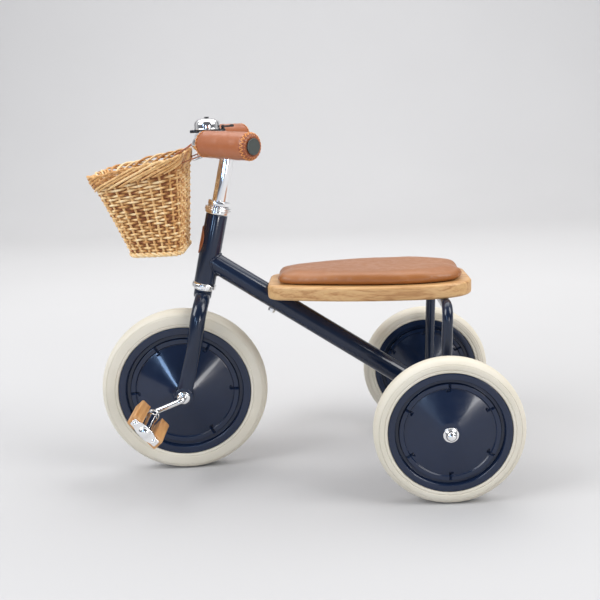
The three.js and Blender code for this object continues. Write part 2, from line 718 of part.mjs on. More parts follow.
function makeRearWheels() {
  for (const { name, sign } of SIDES) {
    const wheel = new THREE.Group();
    wheel.position.set(REAR_AXLE_X, sign * REAR_WHEEL_Y, REAR_RADIUS);
    tricycle.add(wheel);
    const bore = REAR_ROD + GAP;
    const prefix = "rear_" + name + "_";
    add(wheel, prefix + "tyre", makeTyre(REAR), cream());
    add(wheel, prefix + "outer_disc", makeDisc(REAR, REAR.outerHub, bore, sign), navy());
    add(wheel, prefix + "inner_disc", makeDisc(REAR, REAR.innerHub, bore, -sign), navy());
    const inside = -sign * (REAR.innerHub - SHEET - GAP);
    const outside = sign * (REAR.outerHub - SHEET - GAP);
    add(wheel, prefix + "hub", turned(washer(bore, 12, inside, outside)), grey());

    const face = sign * (REAR.outerHub + GAP);
    const shoulder = sign * (REAR.outerHub + 2.3);
    add(wheel, name + "_axle_washer", turned(washer(bore, 12.5, face, shoulder)), chrome());
    const nut = [
      [bore, shoulder + sign * GAP],
      [8.5, shoulder + sign * GAP],
      [8.5, shoulder + sign * 5],
      [7.2, shoulder + sign * 8.5],
      [4, shoulder + sign * 11],
      [0, shoulder + sign * 11.8],
      [0, shoulder + sign * 8],
      [bore, shoulder + sign * 7.5],
    ];
    add(wheel, name + "_axle_cap_nut", turned([...nut.slice(5), ...nut.slice(0, 6)].slice(0, -1), 18), chrome());
  }
  const end = xyz(0, REAR_WHEEL_Y + REAR.outerHub + 9, 0);
  add(tricycle, "rear_axle", rod(REAR_AXLE.clone().sub(end), REAR_AXLE.clone().add(end), REAR_ROD), steel());
}

function makeFrontWheel() {
  const bore = CRANK_ROD + GAP;
  add(steering, "front_tyre", makeTyre(FRONT), cream());
  for (const { name, sign } of SIDES) {
    add(steering, "front_" + name + "_disc", makeDisc(FRONT, FRONT.outerHub, bore, sign), navy());
  }
  const inside = FRONT.outerHub - SHEET - GAP;
  add(steering, "front_hub", turned(washer(bore, 12, -inside, inside)), grey());
  const elbow = xyz(0, -CRANK_Y, 0);
  const tip = KNEE.clone().addScaledVector(SPINDLE, CRANK_Y - PEDAL_END);
  const left = [tip, KNEE, elbow];
  const right = left.map((point) => point.clone().negate()).reverse();
  const path = bentPath([...left, ...right], 9);
  add(steering, "crank_axle", pipe(path, CRANK_ROD, 0, 8, 52), chrome());
}

function blockOutline(side) {
  const inner = side * (BLOCK.offset - BLOCK.width / 2);
  const outer = side * (BLOCK.offset + BLOCK.width / 2);
  const cut = side * BLOCK.chamfer;
  const half = BLOCK.height / 2;
  const outline = new THREE.Shape();
  outline.moveTo(inner, -half);
  outline.lineTo(outer - cut, -half);
  outline.lineTo(outer, -half + BLOCK.chamfer);
  outline.lineTo(outer, half - BLOCK.chamfer);
  outline.lineTo(outer - cut, half);
  outline.lineTo(inner, half);
  return outline;
}

// A flat strip with a round middle.
function plateOutline() {
  const { halfLength, halfWidth, boss } = PLATE;
  const angle = Math.asin(halfWidth / boss);
  const outline = new THREE.Shape();
  outline.moveTo(-halfLength, -halfWidth);
  outline.absarc(0, 0, boss, Math.PI + angle, 2 * Math.PI - angle);
  outline.lineTo(halfLength, -halfWidth);
  outline.lineTo(halfLength, halfWidth);
  outline.absarc(0, 0, boss, angle, Math.PI - angle);
  outline.lineTo(-halfLength, halfWidth);
  return outline;
}

// A pedal on the right side: the left one is the same piece turned half a turn about the vertical.
function makePedal(side) {
  const pedal = new THREE.Group();
  const flip = side.sign > 0 ? 0 : Math.PI;
  pedal.position.copy(KNEE).addScaledVector(SPINDLE, CRANK_Y).multiplyScalar(-side.sign);
  pedal.rotation.set(0, -side.sign * PEDAL_TILT, -PEDAL_SPLAY, "ZYX");
  steering.add(pedal);
  const body = new THREE.Group();
  body.rotation.z = flip;
  pedal.add(body);

  const barrel = [
    [CRANK_ROD + GAP, BARREL.start],
    [BARREL.flange, BARREL.start],
    [BARREL.flange, BARREL.shoulder],
    [BARREL.radius, BARREL.shoulder],
    [BARREL.radius, BLOCK.end],
    [CRANK_ROD + GAP, BLOCK.end],
  ];
  const prefix = side.name + "_pedal_";
  add(body, prefix + "barrel", turned(barrel), chrome());
  const screwHole = (x) => rod(xyz(x, 140, 0), xyz(x, 170, 0), 2 + GAP, 8);
  const ends = [
    { name: "front", sign: -1 },
    { name: "rear", sign: 1 },
  ];
  for (const end of ends) {
    const direction = end.sign * (side.sign > 0 ? 1 : -1);
    const x = direction * SCREW_OFFSET;
    const block = wall(blockOutline(direction), BLOCK.start, BLOCK.end);
    add(body, prefix + end.name + "_block", build([block], [screwHole(x)]), beech());
    const head = PLATE.start + PLATE.thick + GAP;
    const screw = turned([[0, 142], [2, 142], [2, head], [3.8, head], [3.4, head + 1.4], [0, head + 2]], 12);
    add(body, prefix + end.name + "_screw", screw.translate(x, 0, 0), chrome());
  }
  const face = PLATE.start + PLATE.thick;
  const plate = wall(plateOutline(), PLATE.start, face);
  const dome = turned([[0, face - 1], [9.5, face - 1], [9.5, face], [7.5, face + 2.6], [0, face + 4]]);
  const holes = ends.map((end) => screwHole(end.sign * SCREW_OFFSET));
  add(body, prefix + "end_plate", build([plate, dome], holes), chrome());
}

makeFrame();
makeStay();
makeSeat();
makeHeadset();
makeBadge();
makeFork();
makeStem();
makeHandlebar();
makeBell();
makeBasket();
makeRearWheels();
makeFrontWheel();
SIDES.forEach(makePedal);

export default tricycle;
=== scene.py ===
import json
import math
import random

import bmesh
import bpy
import numpy as np
from mathutils import Matrix, Vector


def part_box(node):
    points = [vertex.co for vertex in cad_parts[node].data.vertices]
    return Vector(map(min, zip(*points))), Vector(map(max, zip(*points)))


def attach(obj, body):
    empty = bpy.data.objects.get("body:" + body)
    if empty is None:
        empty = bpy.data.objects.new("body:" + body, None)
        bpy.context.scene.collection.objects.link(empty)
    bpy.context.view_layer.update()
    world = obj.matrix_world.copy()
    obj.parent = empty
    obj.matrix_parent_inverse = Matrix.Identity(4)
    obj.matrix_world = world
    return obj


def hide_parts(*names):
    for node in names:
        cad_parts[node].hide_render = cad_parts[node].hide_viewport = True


# A children's tricycle in metres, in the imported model's frame: front towards -X, rider's left towards -Y.
# Shapes are drawn in millimetres in the frame of what carries them, and moved into place by a matrix.

MM = 0.001
GRAIN_STRETCH = 0.07
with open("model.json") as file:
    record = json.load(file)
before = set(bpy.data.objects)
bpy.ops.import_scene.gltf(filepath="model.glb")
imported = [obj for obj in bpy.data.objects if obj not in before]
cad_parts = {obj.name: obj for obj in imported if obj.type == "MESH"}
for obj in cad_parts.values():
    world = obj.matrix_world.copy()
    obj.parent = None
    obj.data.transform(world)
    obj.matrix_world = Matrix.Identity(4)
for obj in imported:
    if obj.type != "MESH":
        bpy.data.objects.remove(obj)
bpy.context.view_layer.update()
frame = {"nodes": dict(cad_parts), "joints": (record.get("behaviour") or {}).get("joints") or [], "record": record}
joints = {joint["name"]: joint for joint in frame["joints"]}

# Camera
CAMERA_AT = Vector((0.0587, -1.5604, 0.6353))
CAMERA_AZIMUTH = math.radians(2.089)
CAMERA_ELEVATION = math.radians(11.909)
CAMERA_ROLL = math.radians(-2.412)
CAMERA_LENS = 53.85

# Frames that the pieces stand in
HUB = Vector(joints["front_wheel_spin"]["pos_m"])
AXLE = Vector(joints["front_wheel_spin"]["axis"]).normalized()
COLUMN_UP = Vector(joints["steering_turn"]["axis"]).normalized()
RAKE = math.atan2(COLUMN_UP.x, COLUMN_UP.z)
BAR_TWIST = math.radians(2.5)

# Wheels: rim radius, rim face from the middle plane, tyre half width, hub face
REAR = {"radius": 122.5, "rim": 100, "face": 16, "half": 17.5}
FRONT = {"radius": 149.2, "rim": 119.3, "face": 18.8, "half": 21}
REAR_OUTER_HUB = 21.5
REAR_INNER_HUB = 20
FRONT_HUB = 38.5
HUB_FLAT = 17
DISC_SHEET = 2
CONE_STEP = 5.5
NOTCHES = 6
NOTCH = {"inner": 0.69, "outer": 0.80, "hook": 3.5, "half_width": 1.7, "depth": 3.2}
ROUND = 96  # sides of a large round piece
SMALL_ROUND = 40
DISC_SIDES = 432

# Frame tubes
HEAD = {"outer": 19, "low": 201, "high": 324.5}
DOWN_TUBE = {"outer": 18, "meets": 243.6}
AXLE_TUBE = {"outer": 14, "half": 162}
STAY = {"outer": 9, "half_spread": 120, "foot": 1.5, "top": 8, "bend": 25}
WELD = 2.4

# Seat
SEAT_WIDE = 104.5
SEAT_NARROW = 69
SEAT_FLAT = 38
BOARD_EDGE = 4.5
CUSHION_CAP = 0.005
CUSHION_VOXEL = 0.0045
CUSHION_SMOOTHING = 5
CUSHION_SHRINK = (0.992, 0.982, 0.92)
SWELL_EVENING = 30
PRESSURE = 4
CLOTH_STEPS = 20

# Steering, up the column or from the front hub
DROPOUT = {"y": 48, "half": 5, "radius": 17}
CROWN = 15.8
BLADE = 10.5
BLADE_WIDTH = 1.27  # its width seen from the side, over its thickness
QUILL = {"outer": 12.7, "low": 330, "high": 449}
CLAMP = {"reach": 29, "height": 442.4, "radius": 16.5, "half": 19}
BAR = 11.1
BAR_CORNERS = [(76, 0, 437), (74, 28, 437.5), (51.5, 128, 444.5), (136, 226, 441)]
BAR_TRIM = 18
GRIP = {"radius": 21, "start": 17, "length": 112}
SEAM_ANGLE = math.radians(250)
LACES = 22
BELL = (68, 72, 461)
BELL_RADIUS = 23
LEVER_PIVOT = (96, 74, 461.3)

# Basket, from the front hub and square to the frame
BASKET = {
    "bottom": 256,
    "rim_back": 423,
    "rim_front": 392.5,
    "rim_middle": -49.5,
    "rim_half_x": 78.5,
    "rim_half_y": 95,
    "floor_middle": -25,
    "floor_half_x": 46,
    "floor_half_y": 62,
    "corner": 34,
    "lean": 0.045,
}
OUTLINE_STEPS = 360
STAKES = 32
ROWS = 25
ROW_LOW = 0.07
ROW_HIGH = 0.87
WEAVE = 1.9
STRAND = (1.6, 1.9)
RIM_RODS = 32
RIM_REACH = 0.205  # share of the way round that a rod covers
RANDOM_SEED = 7
STRAP = {"y": 48, "half": 7, "thick": 2, "bar_radius": 12.4, "rim_radius": 7.5}

# Cranks and pedals, from the front hub
CRANK_Y = 66
CRANK_ROD = 5
KNEE = Vector((-51.5, -CRANK_Y, -19.2))
PEDAL_END = 160
PEDAL_SPLAY = math.radians(3.4)
PEDAL_TILT = math.radians(49.5)
BARREL = {"radius": 9.5, "flange": 11.5, "start": 80, "shoulder": 83.5}
BLOCK = {"offset": 23.2, "width": 18.5, "height": 21, "chamfer": 2, "start": 87, "end": 161.3}
PLATE = {"start": 161.6, "thick": 2.5, "half_length": 28, "half_width": 6.5, "boss": 12}
SCREW_OFFSET = 21

SIDES = {"left": -1, "right": 1}

# Studio: the bright side of the room is behind the tricycle
BRIGHT_SIDE = (0, 0.9, 0.35)
WORLD_STRENGTH = 0.9
WHITE = (1, 1, 1)
SUBJECT = (0, 0, 0.25)
LIGHTS = [
    ("window_left", (-2.6, -1.6, 2.4), (1.9, 2.2), 98, (0.96, 0.98, 1.0), SUBJECT),
    ("window_right", (2.6, -1.2, 2.4), (1.7, 2.2), 76, WHITE, SUBJECT),
    ("ceiling", (0, 1.2, 3.6), (4.6, 3.2), 92, WHITE, (0, 0.4, 0)),
    ("wall_wash", (0, 1.4, 3.2), (7.0, 0.8), 150, WHITE, (0, 4.8, 1.7)),
    ("streak_left", (-1.85, -3.6, 0.98), (0.26, 0.7), 13, (0.4, 0.62, 1.0), (-0.2, 0, 0.15)),
    ("streak_low", (-0.45, -4.1, 0.42), (0.3, 0.5), 8, (0.5, 0.7, 1.0), (0.24, -0.18, 0.12)),
    ("streak_right", (1.8, -3.5, 0.42), (0.5, 0.8), 13, WHITE, (-0.2, 0, 0.15)),
    ("streak_edge", (2.12, -3.75, 0.14), (0.22, 0.4), 9, (1.0, 0.93, 0.92), (0.24, -0.18, 0.12)),
]


# Materials -------------------------------------------------------------------------------------------------


class Look:
    """A material whose nodes are added one at a time. Each call returns the node's output."""

    def __init__(self, name, **sockets):
        self.material = bpy.data.materials.new(name)
        self.material.use_nodes = True
        self.tree = self.material.node_tree
        self.shader = self.tree.nodes["Principled BSDF"]
        self.coordinates = self.node("TexCoord", output="Object")
        for socket, value in sockets.items():
            self.set(socket.replace("_", " ").title().replace("Ior", "IOR"), value)

    def set(self, socket, value):
        if isinstance(value, bpy.types.NodeSocket):
            self.tree.links.new(value, self.shader.inputs[socket])
        else:
            self.shader.inputs[socket].default_value = value

    def node(self, kind, inputs=(), output=0, **attributes):
        made = self.tree.nodes.new("ShaderNode" + kind)
        for name, value in attributes.items():
            setattr(made, name, value)
        for name, value in dict(inputs).items():
            if isinstance(value, bpy.types.NodeSocket):
                self.tree.links.new(value, made.inputs[name])
            else:
                made.inputs[name].default_value = value
        return made.outputs[output]

    def stretched(self, scale):
        return self.node("Mapping", {"Vector": self.coordinates, "Scale": scale})

    def noise(self, scale, detail=3, vector=None, distortion=0.0):
        inputs = {
            "Vector": vector or self.coordinates, "Scale": scale, "Detail": detail, "Distortion": distortion,
        }
        return self.node("TexNoise", inputs, "Fac")

    def cells(self, scale):
        return self.node("TexVoronoi", {"Vector": self.coordinates, "Scale": scale}, "Distance")

    def span(self, value, low, high, source=(0.3, 0.7)):
        inputs = {"Value": value, "From Min": source[0], "From Max": source[1], "To Min": low, "To Max": high}
        return self.node("MapRange", inputs)

    def ramp(self, value, stops):
        output = self.node("ValToRGB", {"Fac": value})
        elements = output.node.color_ramp.elements
        while len(elements) < len(stops):
            elements.new(1)
        for element, (position, colour) in zip(elements, stops):
            element.position = position
            element.color = (*colour, 1)
        return output

    def blend(self, first, second, amount, mode="MULTIPLY"):
        made = self.tree.nodes.new("ShaderNodeMixRGB")
        made.blend_type = mode
        for socket, value in (("Fac", amount), ("Color1", first), ("Color2", second)):
            if isinstance(value, bpy.types.NodeSocket):
                self.tree.links.new(value, made.inputs[socket])
            else:
                made.inputs[socket].default_value = value
        return made.outputs[0]

    def bump(self, height, strength, distance):
        inputs = {"Height": height, "Strength": strength, "Distance": distance}
        self.set("Normal", self.node("Bump", inputs))


def gloss_paint(name, deep, light):
    look = Look(name, coat_weight=0.4, coat_roughness=0.05, specular_ior_level=0.3)
    look.set("Base Color", look.ramp(look.noise(9), [(0.35, deep), (0.7, light)]))
    look.set("Roughness", look.span(look.noise(60), 0.13, 0.22))
    look.bump(look.noise(420, 1), 0.06, 0.0004)
    return look.material


def polished(name, colour, low, high, metallic=1.0):
    look = Look(name, metallic=metallic)
    tarnish = [channel * 0.9 for channel in colour]
    look.set("Base Color", look.ramp(look.noise(25), [(0.3, tarnish), (0.65, colour)]))
    look.set("Roughness", look.span(look.noise(70, 5), low, high))
    look.bump(look.noise(300, 2), 0.03, 0.0002)
    return look.material


def cream_rubber():
    look = Look("cream_rubber")
    cream, worn = (0.66, 0.61, 0.51), (0.61, 0.56, 0.45)
    look.set("Base Color", look.ramp(look.noise(14, 5), [(0.3, worn), (0.6, cream)]))
    look.set("Roughness", look.span(look.noise(50), 0.5, 0.66))
    look.bump(look.noise(900, 4), 0.12, 0.0004)
    return look.material


def hide(name, deep, light, pebble, roughness):
    look = Look(name, coat_weight=0.25, coat_roughness=0.42)
    tone = look.ramp(look.noise(11, 4), [(0.3, deep), (0.7, light)])
    pores = look.ramp(look.cells(pebble), [(0.0, (0.86, 0.86, 0.86)), (0.35, (1, 1, 1))])
    skin_colour = look.blend(tone, pores, 0.8)
    worn = look.node("Attribute", output="Fac", attribute_name="tone")
    shade = look.ramp(worn, [(0.0, (1, 1, 1)), (1.0, (0.72, 0.56, 0.42))])
    look.set("Base Color", look.blend(skin_colour, shade, 1.0))
    look.set("Roughness", look.span(look.noise(80, 4), roughness - 0.06, roughness + 0.08))
    grain = look.node("Math", {0: look.cells(pebble), 1: look.noise(pebble * 0.6, 4)}, operation="ADD")
    look.bump(grain, 0.22, 0.0005)
    return look.material


def timber(name, colours, along, roughness):
    """Wood with its grain along one axis: 0 is X and 1 is Y."""
    look = Look(name, coat_weight=0.12, coat_roughness=0.3)
    squeeze = [1.0, 1.0, 1.0]
    squeeze[along] = GRAIN_STRETCH
    vector = look.stretched(squeeze)
    figure = look.noise(70, 6, vector, 1.6)
    fibres = look.noise(520, 3, vector)
    rings = look.node("Math", {0: figure, 1: look.span(fibres, -0.09, 0.09)}, operation="ADD")
    dark, middle, light = colours
    look.set("Base Color", look.ramp(rings, [(0.34, dark), (0.47, middle), (0.62, light)]))
    look.set("Roughness", look.span(fibres, roughness, roughness + 0.14))
    look.bump(rings, 0.16, 0.0006)
    return look.material


def willow():
    look = Look("willow")
    # The tone attribute holds each strand's random tone and painted shade: low tones behind the stakes and on the
    # inner rows map to the dark red-brown stop.
    tone = look.node("Attribute", output="Fac", attribute_name="tone")
    mixed = look.node("Math", {0: tone, 1: look.span(look.noise(130, 4), -0.14, 0.14)}, operation="ADD")
    stops = [
        (0.0, (0.24, 0.075, 0.02)), (0.25, (0.58, 0.29, 0.09)), (0.55, (0.8, 0.53, 0.24)),
        (1.0, (0.92, 0.75, 0.47)),
    ]
    look.set("Base Color", look.ramp(mixed, stops))
    look.set("Roughness", look.span(look.noise(90), 0.42, 0.62))
    look.bump(look.noise(700, 4), 0.3, 0.0004)
    return look.material


NICKEL_WHITE, DULL_STEEL = (0.92, 0.92, 0.925), (0.5, 0.5, 0.51)
OAK_TONES = [(0.38, 0.185, 0.062), (0.52, 0.29, 0.115), (0.59, 0.36, 0.155)]
BEECH_TONES = [(0.37, 0.155, 0.045), (0.52, 0.255, 0.09), (0.6, 0.33, 0.135)]

# The material of each slot in the record
MATERIALS = {
    "frame_paint": gloss_paint("navy_enamel", (0.006, 0.0125, 0.031), (0.0085, 0.0165, 0.041)),
    "wheel_paint": gloss_paint("navy_wheel_enamel", (0.006, 0.013, 0.035), (0.0085, 0.0175, 0.046)),
    "chrome": polished("chrome_plate", NICKEL_WHITE, 0.08, 0.15),
    "steel": polished("turned_steel", DULL_STEEL, 0.25, 0.4),
    "tyre_rubber": cream_rubber(),
    "cushion_leather": hide("cushion_leather_grain", (0.285, 0.094, 0.017), (0.32, 0.112, 0.022), 900, 0.4),
    "trim_leather": hide("trim_leather_grain", (0.32, 0.088, 0.024), (0.375, 0.108, 0.03), 700, 0.34),
    "oak": timber("oak_board", OAK_TONES, 0, 0.4),
    "pedal_wood": timber("pedal_beech", BEECH_TONES, 1, 0.38),
    "wicker": willow(),
    "bell_black": polished("black_enamel", (0.014, 0.015, 0.018), 0.2, 0.32, 0.0),
    "dark_plastic": polished("grey_plastic", (0.055, 0.065, 0.06), 0.5, 0.65, 0.0),
}
THREAD = hide("waxed_thread", (0.62, 0.22, 0.05), (0.78, 0.34, 0.1), 2500, 0.5)


# Shapes ----------------------------------------------------------------------------------------------------
# A shape is (points, faces), its points in millimetres.


def circle(count):
    return np.linspace(0, 2 * math.pi, count, endpoint=False)


def joined(*shapes):
    points, faces, base = [], [], 0
    for shape_points, shape_faces in shapes:
        points.append(np.asarray(shape_points, float))
        faces += [tuple(base + i for i in face) for face in shape_faces]
        base += len(shape_points)
    return np.concatenate(points), faces


def moved(shape, matrix):
    points = [tuple(matrix @ Vector(point)) for point in shape[0]]
    return np.array(points), shape[1]


def skin(rings, closed=False):
    """A surface through rings of points: the last ring joins the first, or both ends are capped."""
    count, size = len(rings), len(rings[0])
    faces = []
    for i in range(count if closed else count - 1):
        here, there = i * size, (i + 1) % count * size
        faces += [(here + j, here + (j + 1) % size, there + (j + 1) % size, there + j) for j in range(size)]
    if not closed:
        faces.append(tuple(range(size)))
        faces.append(tuple(range((count - 1) * size, count * size)))
    return np.concatenate(rings), faces


def rounded(corners, radius, steps=4, closed=True):
    """A 2-D outline with its corners rounded. A corner may give its own radius as a third number."""
    count = len(corners)
    outline = []
    for i, corner in enumerate(corners):
        here = np.array(corner[:2], float)
        if not closed and i in (0, count - 1):
            outline.append(here)
            continue
        before = np.array(corners[i - 1][:2], float) - here
        after = np.array(corners[(i + 1) % count][:2], float) - here
        wanted = corner[2] if len(corner) > 2 else radius
        lengths = [np.linalg.norm(before), np.linalg.norm(after)]
        trim = min(wanted, 0.45 * lengths[0], 0.45 * lengths[1])
        if trim <= 0:
            outline.append(here)
            continue
        start, end = here + before / lengths[0] * trim, here + after / lengths[1] * trim
        for t in np.linspace(0, 1, steps):
            outline.append((1 - t) ** 2 * start + 2 * t * (1 - t) * here + t * t * end)
    return np.array(outline)


def rectangle(half_width, half_height, radius, steps):
    corners = [
        (-half_width, -half_height), (half_width, -half_height), (half_width, half_height),
        (-half_width, half_height),
    ]
    return rounded(corners, radius, steps)


def turned(profile, sides=SMALL_ROUND, radius=0.6, shape=None):
    """A piece turned about Y from (radius, height) points round its section. shape() may move a point."""
    outline = rounded(profile, radius)
    rings = []
    for k in range(sides):
        angle = 2 * math.pi * k / sides
        ring = [shape(r, y, angle) if shape else (r, y) for r, y in outline]
        rings.append(np.array([(r * math.cos(angle), y, r * math.sin(angle)) for r, y in ring]))
    return skin(rings, closed=True)


def standing(profile, sides=SMALL_ROUND, radius=0.6):
    return moved(turned(profile, sides, radius), Matrix.Rotation(math.pi / 2, 4, "X"))


def frames_along(path):
    """The direction of a path and two directions across it at each point, turned as little as possible."""
    path = np.asarray(path, float)
    along = np.gradient(path, axis=0)
    along /= np.linalg.norm(along, axis=1)[:, None]
    helper = np.array([0, 0, 1.0]) if abs(along[0][2]) < 0.9 else np.array([1.0, 0, 0])
    side = np.cross(along[0], helper)
    sides = []
    for direction in along:
        side = side - direction * side.dot(direction)
        side /= np.linalg.norm(side)
        sides.append(side.copy())
    sides = np.array(sides)
    return along, sides, np.cross(along, sides)


def swept(path, radius, sides=24, taper=None):
    """A round bar along a path. taper gives the radius as a share at each point."""
    path = np.asarray(path, float)
    _, across, over = frames_along(path)
    shares = taper if taper is not None else np.ones(len(path))
    angles = circle(sides)
    rings = []
    for point, a, b, share in zip(path, across, over, shares):
        rings.append(point + radius * share * (np.outer(np.cos(angles), a) + np.outer(np.sin(angles), b)))
    return skin(rings)


def loop(path, across, half_width, half_height, sides=8, normals=None):
    """A closed strand along a path, half_width along the normals and half_height along across."""
    path = np.asarray(path, float)
    angles = circle(sides)
    rings = []
    for point, normal in zip(path, normals):
        wide = np.outer(np.cos(angles) * half_width, normal)
        rings.append(point + (wide + np.outer(np.sin(angles) * half_height, across)))
    return skin(rings, closed=True)


def bent(corners, trim, spacing=4.0):
    """Straight stretches with a rounded bend at each inner corner, as closely spaced points."""
    corners = [np.array(corner, float) for corner in corners]
    points, start = [], corners[0]

    def straight(a, b):
        steps = max(2, int(np.linalg.norm(b - a) / spacing))
        return [a + (b - a) * t for t in np.linspace(0, 1, steps, endpoint=False)]

    for before, corner, after in zip(corners, corners[1:], corners[2:]):
        entry = corner + (before - corner) / np.linalg.norm(before - corner) * trim
        leave = corner + (after - corner) / np.linalg.norm(after - corner) * trim
        points += straight(start, entry)
        for t in np.linspace(0, 1, 12, endpoint=False):
            points.append((1 - t) ** 2 * entry + 2 * t * (1 - t) * corner + t * t * leave)
        start = leave
    return np.array(points + straight(start, corners[-1]) + [corners[-1]])


def flowing(points, steps=10):
    """A smooth curve through every point."""
    points = [np.array(point, float) for point in points]
    padded = [2 * points[0] - points[1], *points, 2 * points[-1] - points[-2]]
    curve = []
    for a, b, c, d in zip(padded, padded[1:], padded[2:], padded[3:]):
        for t in np.linspace(0, 1, steps, endpoint=False):
            bow, twist = 2 * a - 5 * b + 4 * c - d, 3 * b - a - 3 * c + d
            curve.append(0.5 * (2 * b + (c - a) * t + bow * t**2 + twist * t**3))
    return np.array([*curve, points[-1]])


def outward(outline):
    """The outward direction at each point of an outline that runs anticlockwise."""
    step = np.roll(outline, -1, axis=0) - np.roll(outline, 1, axis=0)
    step /= np.linalg.norm(step, axis=1)[:, None]
    return np.stack([step[:, 1], -step[:, 0]], axis=1)


def slab(outline, low, high, edge, steps=5):
    """A flat outline in X and Y raised along Z, its upper and lower edges rounded."""
    normals = outward(outline)
    rings = []
    for z, side in ((low, -1), (high, 1)):
        turns = np.linspace(0, math.pi / 2, steps)
        for turn in turns if side > 0 else turns[::-1]:
            flat = outline - normals * edge * (1 - math.cos(turn))
            height = z + side * (-edge + edge * math.sin(turn))
            rings.append(np.column_stack([flat, np.full(len(flat), height)]))
    return skin(rings)


def upright(shape, low, high):
    """A slab drawn in X and Z, standing across Y from low to high."""
    return moved(shape, at((0, high + low, 0)) @ Matrix.Rotation(math.pi / 2, 4, "X"))


def stitch(start, end, radius):
    start, end = np.array(start, float), np.array(end, float)
    path = [start + (end - start) * t for t in (0, 0.12, 0.5, 0.88, 1)]
    return swept(path, radius, 6, [0.35, 0.85, 1, 0.85, 0.35])


def piece(name, shape, matrix, body, slot, *nodes, material=None, tones=None, sharp=38):
    """Makes a shape an object that rides on a body and stands for the CAD nodes."""
    points, faces = shape
    mesh = bpy.data.meshes.new(name)
    mesh.from_pydata((np.asarray(points, float) * MM).tolist(), [], faces)
    if tones is not None:
        mesh.attributes.new("tone", "FLOAT", "POINT").data.foreach_set("value", np.asarray(tones, np.float32))
    made = bmesh.new()
    made.from_mesh(mesh)
    bmesh.ops.remove_doubles(made, verts=made.verts, dist=1e-6)
    bmesh.ops.recalc_face_normals(made, faces=made.faces)
    made.to_mesh(mesh)
    made.free()
    mesh.shade_smooth()
    mesh.set_sharp_from_angle(angle=math.radians(sharp))
    mesh.materials.append(material or MATERIALS[slot])
    obj = bpy.data.objects.new(name, mesh)
    bpy.context.scene.collection.objects.link(obj)
    obj.matrix_world = matrix
    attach(obj, body)
    if nodes:
        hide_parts(*nodes)


def at(place):
    return Matrix.Translation(Vector(place))


def standing_frame(origin, x, y, z):
    matrix = Matrix((x, y, z)).transposed().to_4x4()
    matrix.translation = origin
    return matrix


def shifted(x, y, z):
    return Matrix.Translation(Vector((x, y, z)) * MM)


Y_AXIS = Vector((0, 1, 0))
COLUMN = standing_frame(HUB, AXLE.cross(COLUMN_UP), AXLE, COLUMN_UP)
HEAD_FRAME = standing_frame(HUB, Y_AXIS.cross(COLUMN_UP), Y_AXIS, COLUMN_UP)
STEERING = COLUMN @ Matrix.Rotation(-RAKE, 4, "Y")
STEM_FRAME = COLUMN @ Matrix.Rotation(BAR_TWIST, 4, "Z")
TWIST_X = QUILL["high"] * math.sin(RAKE)
BARS = STEERING @ shifted(TWIST_X, 0, 0) @ Matrix.Rotation(BAR_TWIST, 4, "Z") @ shifted(-TWIST_X, 0, 0)
BASKET_FRAME = at(HUB)
WORLD = Matrix.Identity(4)


# Wheels ----------------------------------------------------------------------------------------------------


def tyre(wheel):
    radius, rim, face, half = wheel["radius"], wheel["rim"], wheel["face"], wheel["half"]
    side = [
        (0.9 * rim, face - 3.2, 0.3),
        (rim + 0.2, face - 3.2, 0.2),
        (rim + 0.3, face + 0.9, 0.8),
        (rim + 4.2, half - 0.2, 1.5),
        (rim + 5.0, half - 1.3, 0.3),
        (rim + 5.8, half, 0.6),
        (radius - 10.0, half - 0.2, 3),
        (radius - 9.2, half - 1.5, 0.3),
        (radius - 8.4, half - 0.8, 2),
        (radius - 3.2, half - 4.8, 4.5),
        (radius - 0.15, 7.5, 5),
    ]
    other = [(r, -y, trim) for r, y, trim in reversed(side)]
    return turned(side + other, ROUND)


def disc(wheel, hub_face, sign):
    """A pressed wheel disc with a groove round its rim, a shallow cone and a row of short radial notches."""
    rim, face = wheel["rim"], wheel["face"]
    front = [
        (rim - 0.6, face - 2.3, 0.3),
        (rim - 0.6, face + 0.2, 1.6),
        (0.885 * rim, face + 0.1, 1.5),
        (0.871 * rim, face - 8, 1.5),
        (0.822 * rim, face - 8, 1.5),
        (0.81 * rim, face - 3.0, 1.2),
        (0.745 * rim, face - 3.0, 1.2),
        (0.73 * rim, face - CONE_STEP, 1.5),
        (HUB_FLAT + 3, hub_face - 0.5, 3),
        (HUB_FLAT, hub_face, 3),
        (5.4, hub_face, 0.2),
    ]
    back = [(r - 0.4, y - DISC_SHEET, trim) for r, y, trim in reversed(front[1:])]
    back[0] = (5.4, hub_face - DISC_SHEET, 0.2)

    def dented(r, y, angle):
        if not NOTCH["inner"] - 0.05 < r / rim < NOTCH["outer"] + 0.05:
            return r, sign * y
        nearest = round(angle * NOTCHES / (2 * math.pi) - 0.5) + 0.5
        across = r * math.sin(angle - nearest * 2 * math.pi / NOTCHES)
        beyond = max(NOTCH["inner"] * rim - r, r - NOTCH["outer"] * rim, 0)
        slot = math.hypot(across, beyond)
        hook = math.hypot(max(across - NOTCH["hook"], -across, 0), r - NOTCH["inner"] * rim)
        distance = min(slot, hook) / NOTCH["half_width"]
        dent = NOTCH["depth"] * (1 - distance**2) ** 0.5 if distance < 1 else 0
        return r, sign * (y - dent)

    return turned(dense(front + back, rim), DISC_SIDES, 0.6, dented)


def dense(profile, rim):
    """Adds points where the notches are, so that they have something to dent."""
    filled = []
    for here, there in zip(profile, profile[1:] + profile[:1]):
        filled.append(here)
        low, high = sorted((here[0] / rim, there[0] / rim))
        if high > NOTCH["inner"] - 0.06 and low < NOTCH["outer"] + 0.03 and high - low > 0.02:
            steps = max(2, int((high - low) * rim / 1.0))
            for t in np.arange(1, steps) / steps:
                filled.append((here[0] + (there[0] - here[0]) * t, here[1] + (there[1] - here[1]) * t, 0))
    return filled


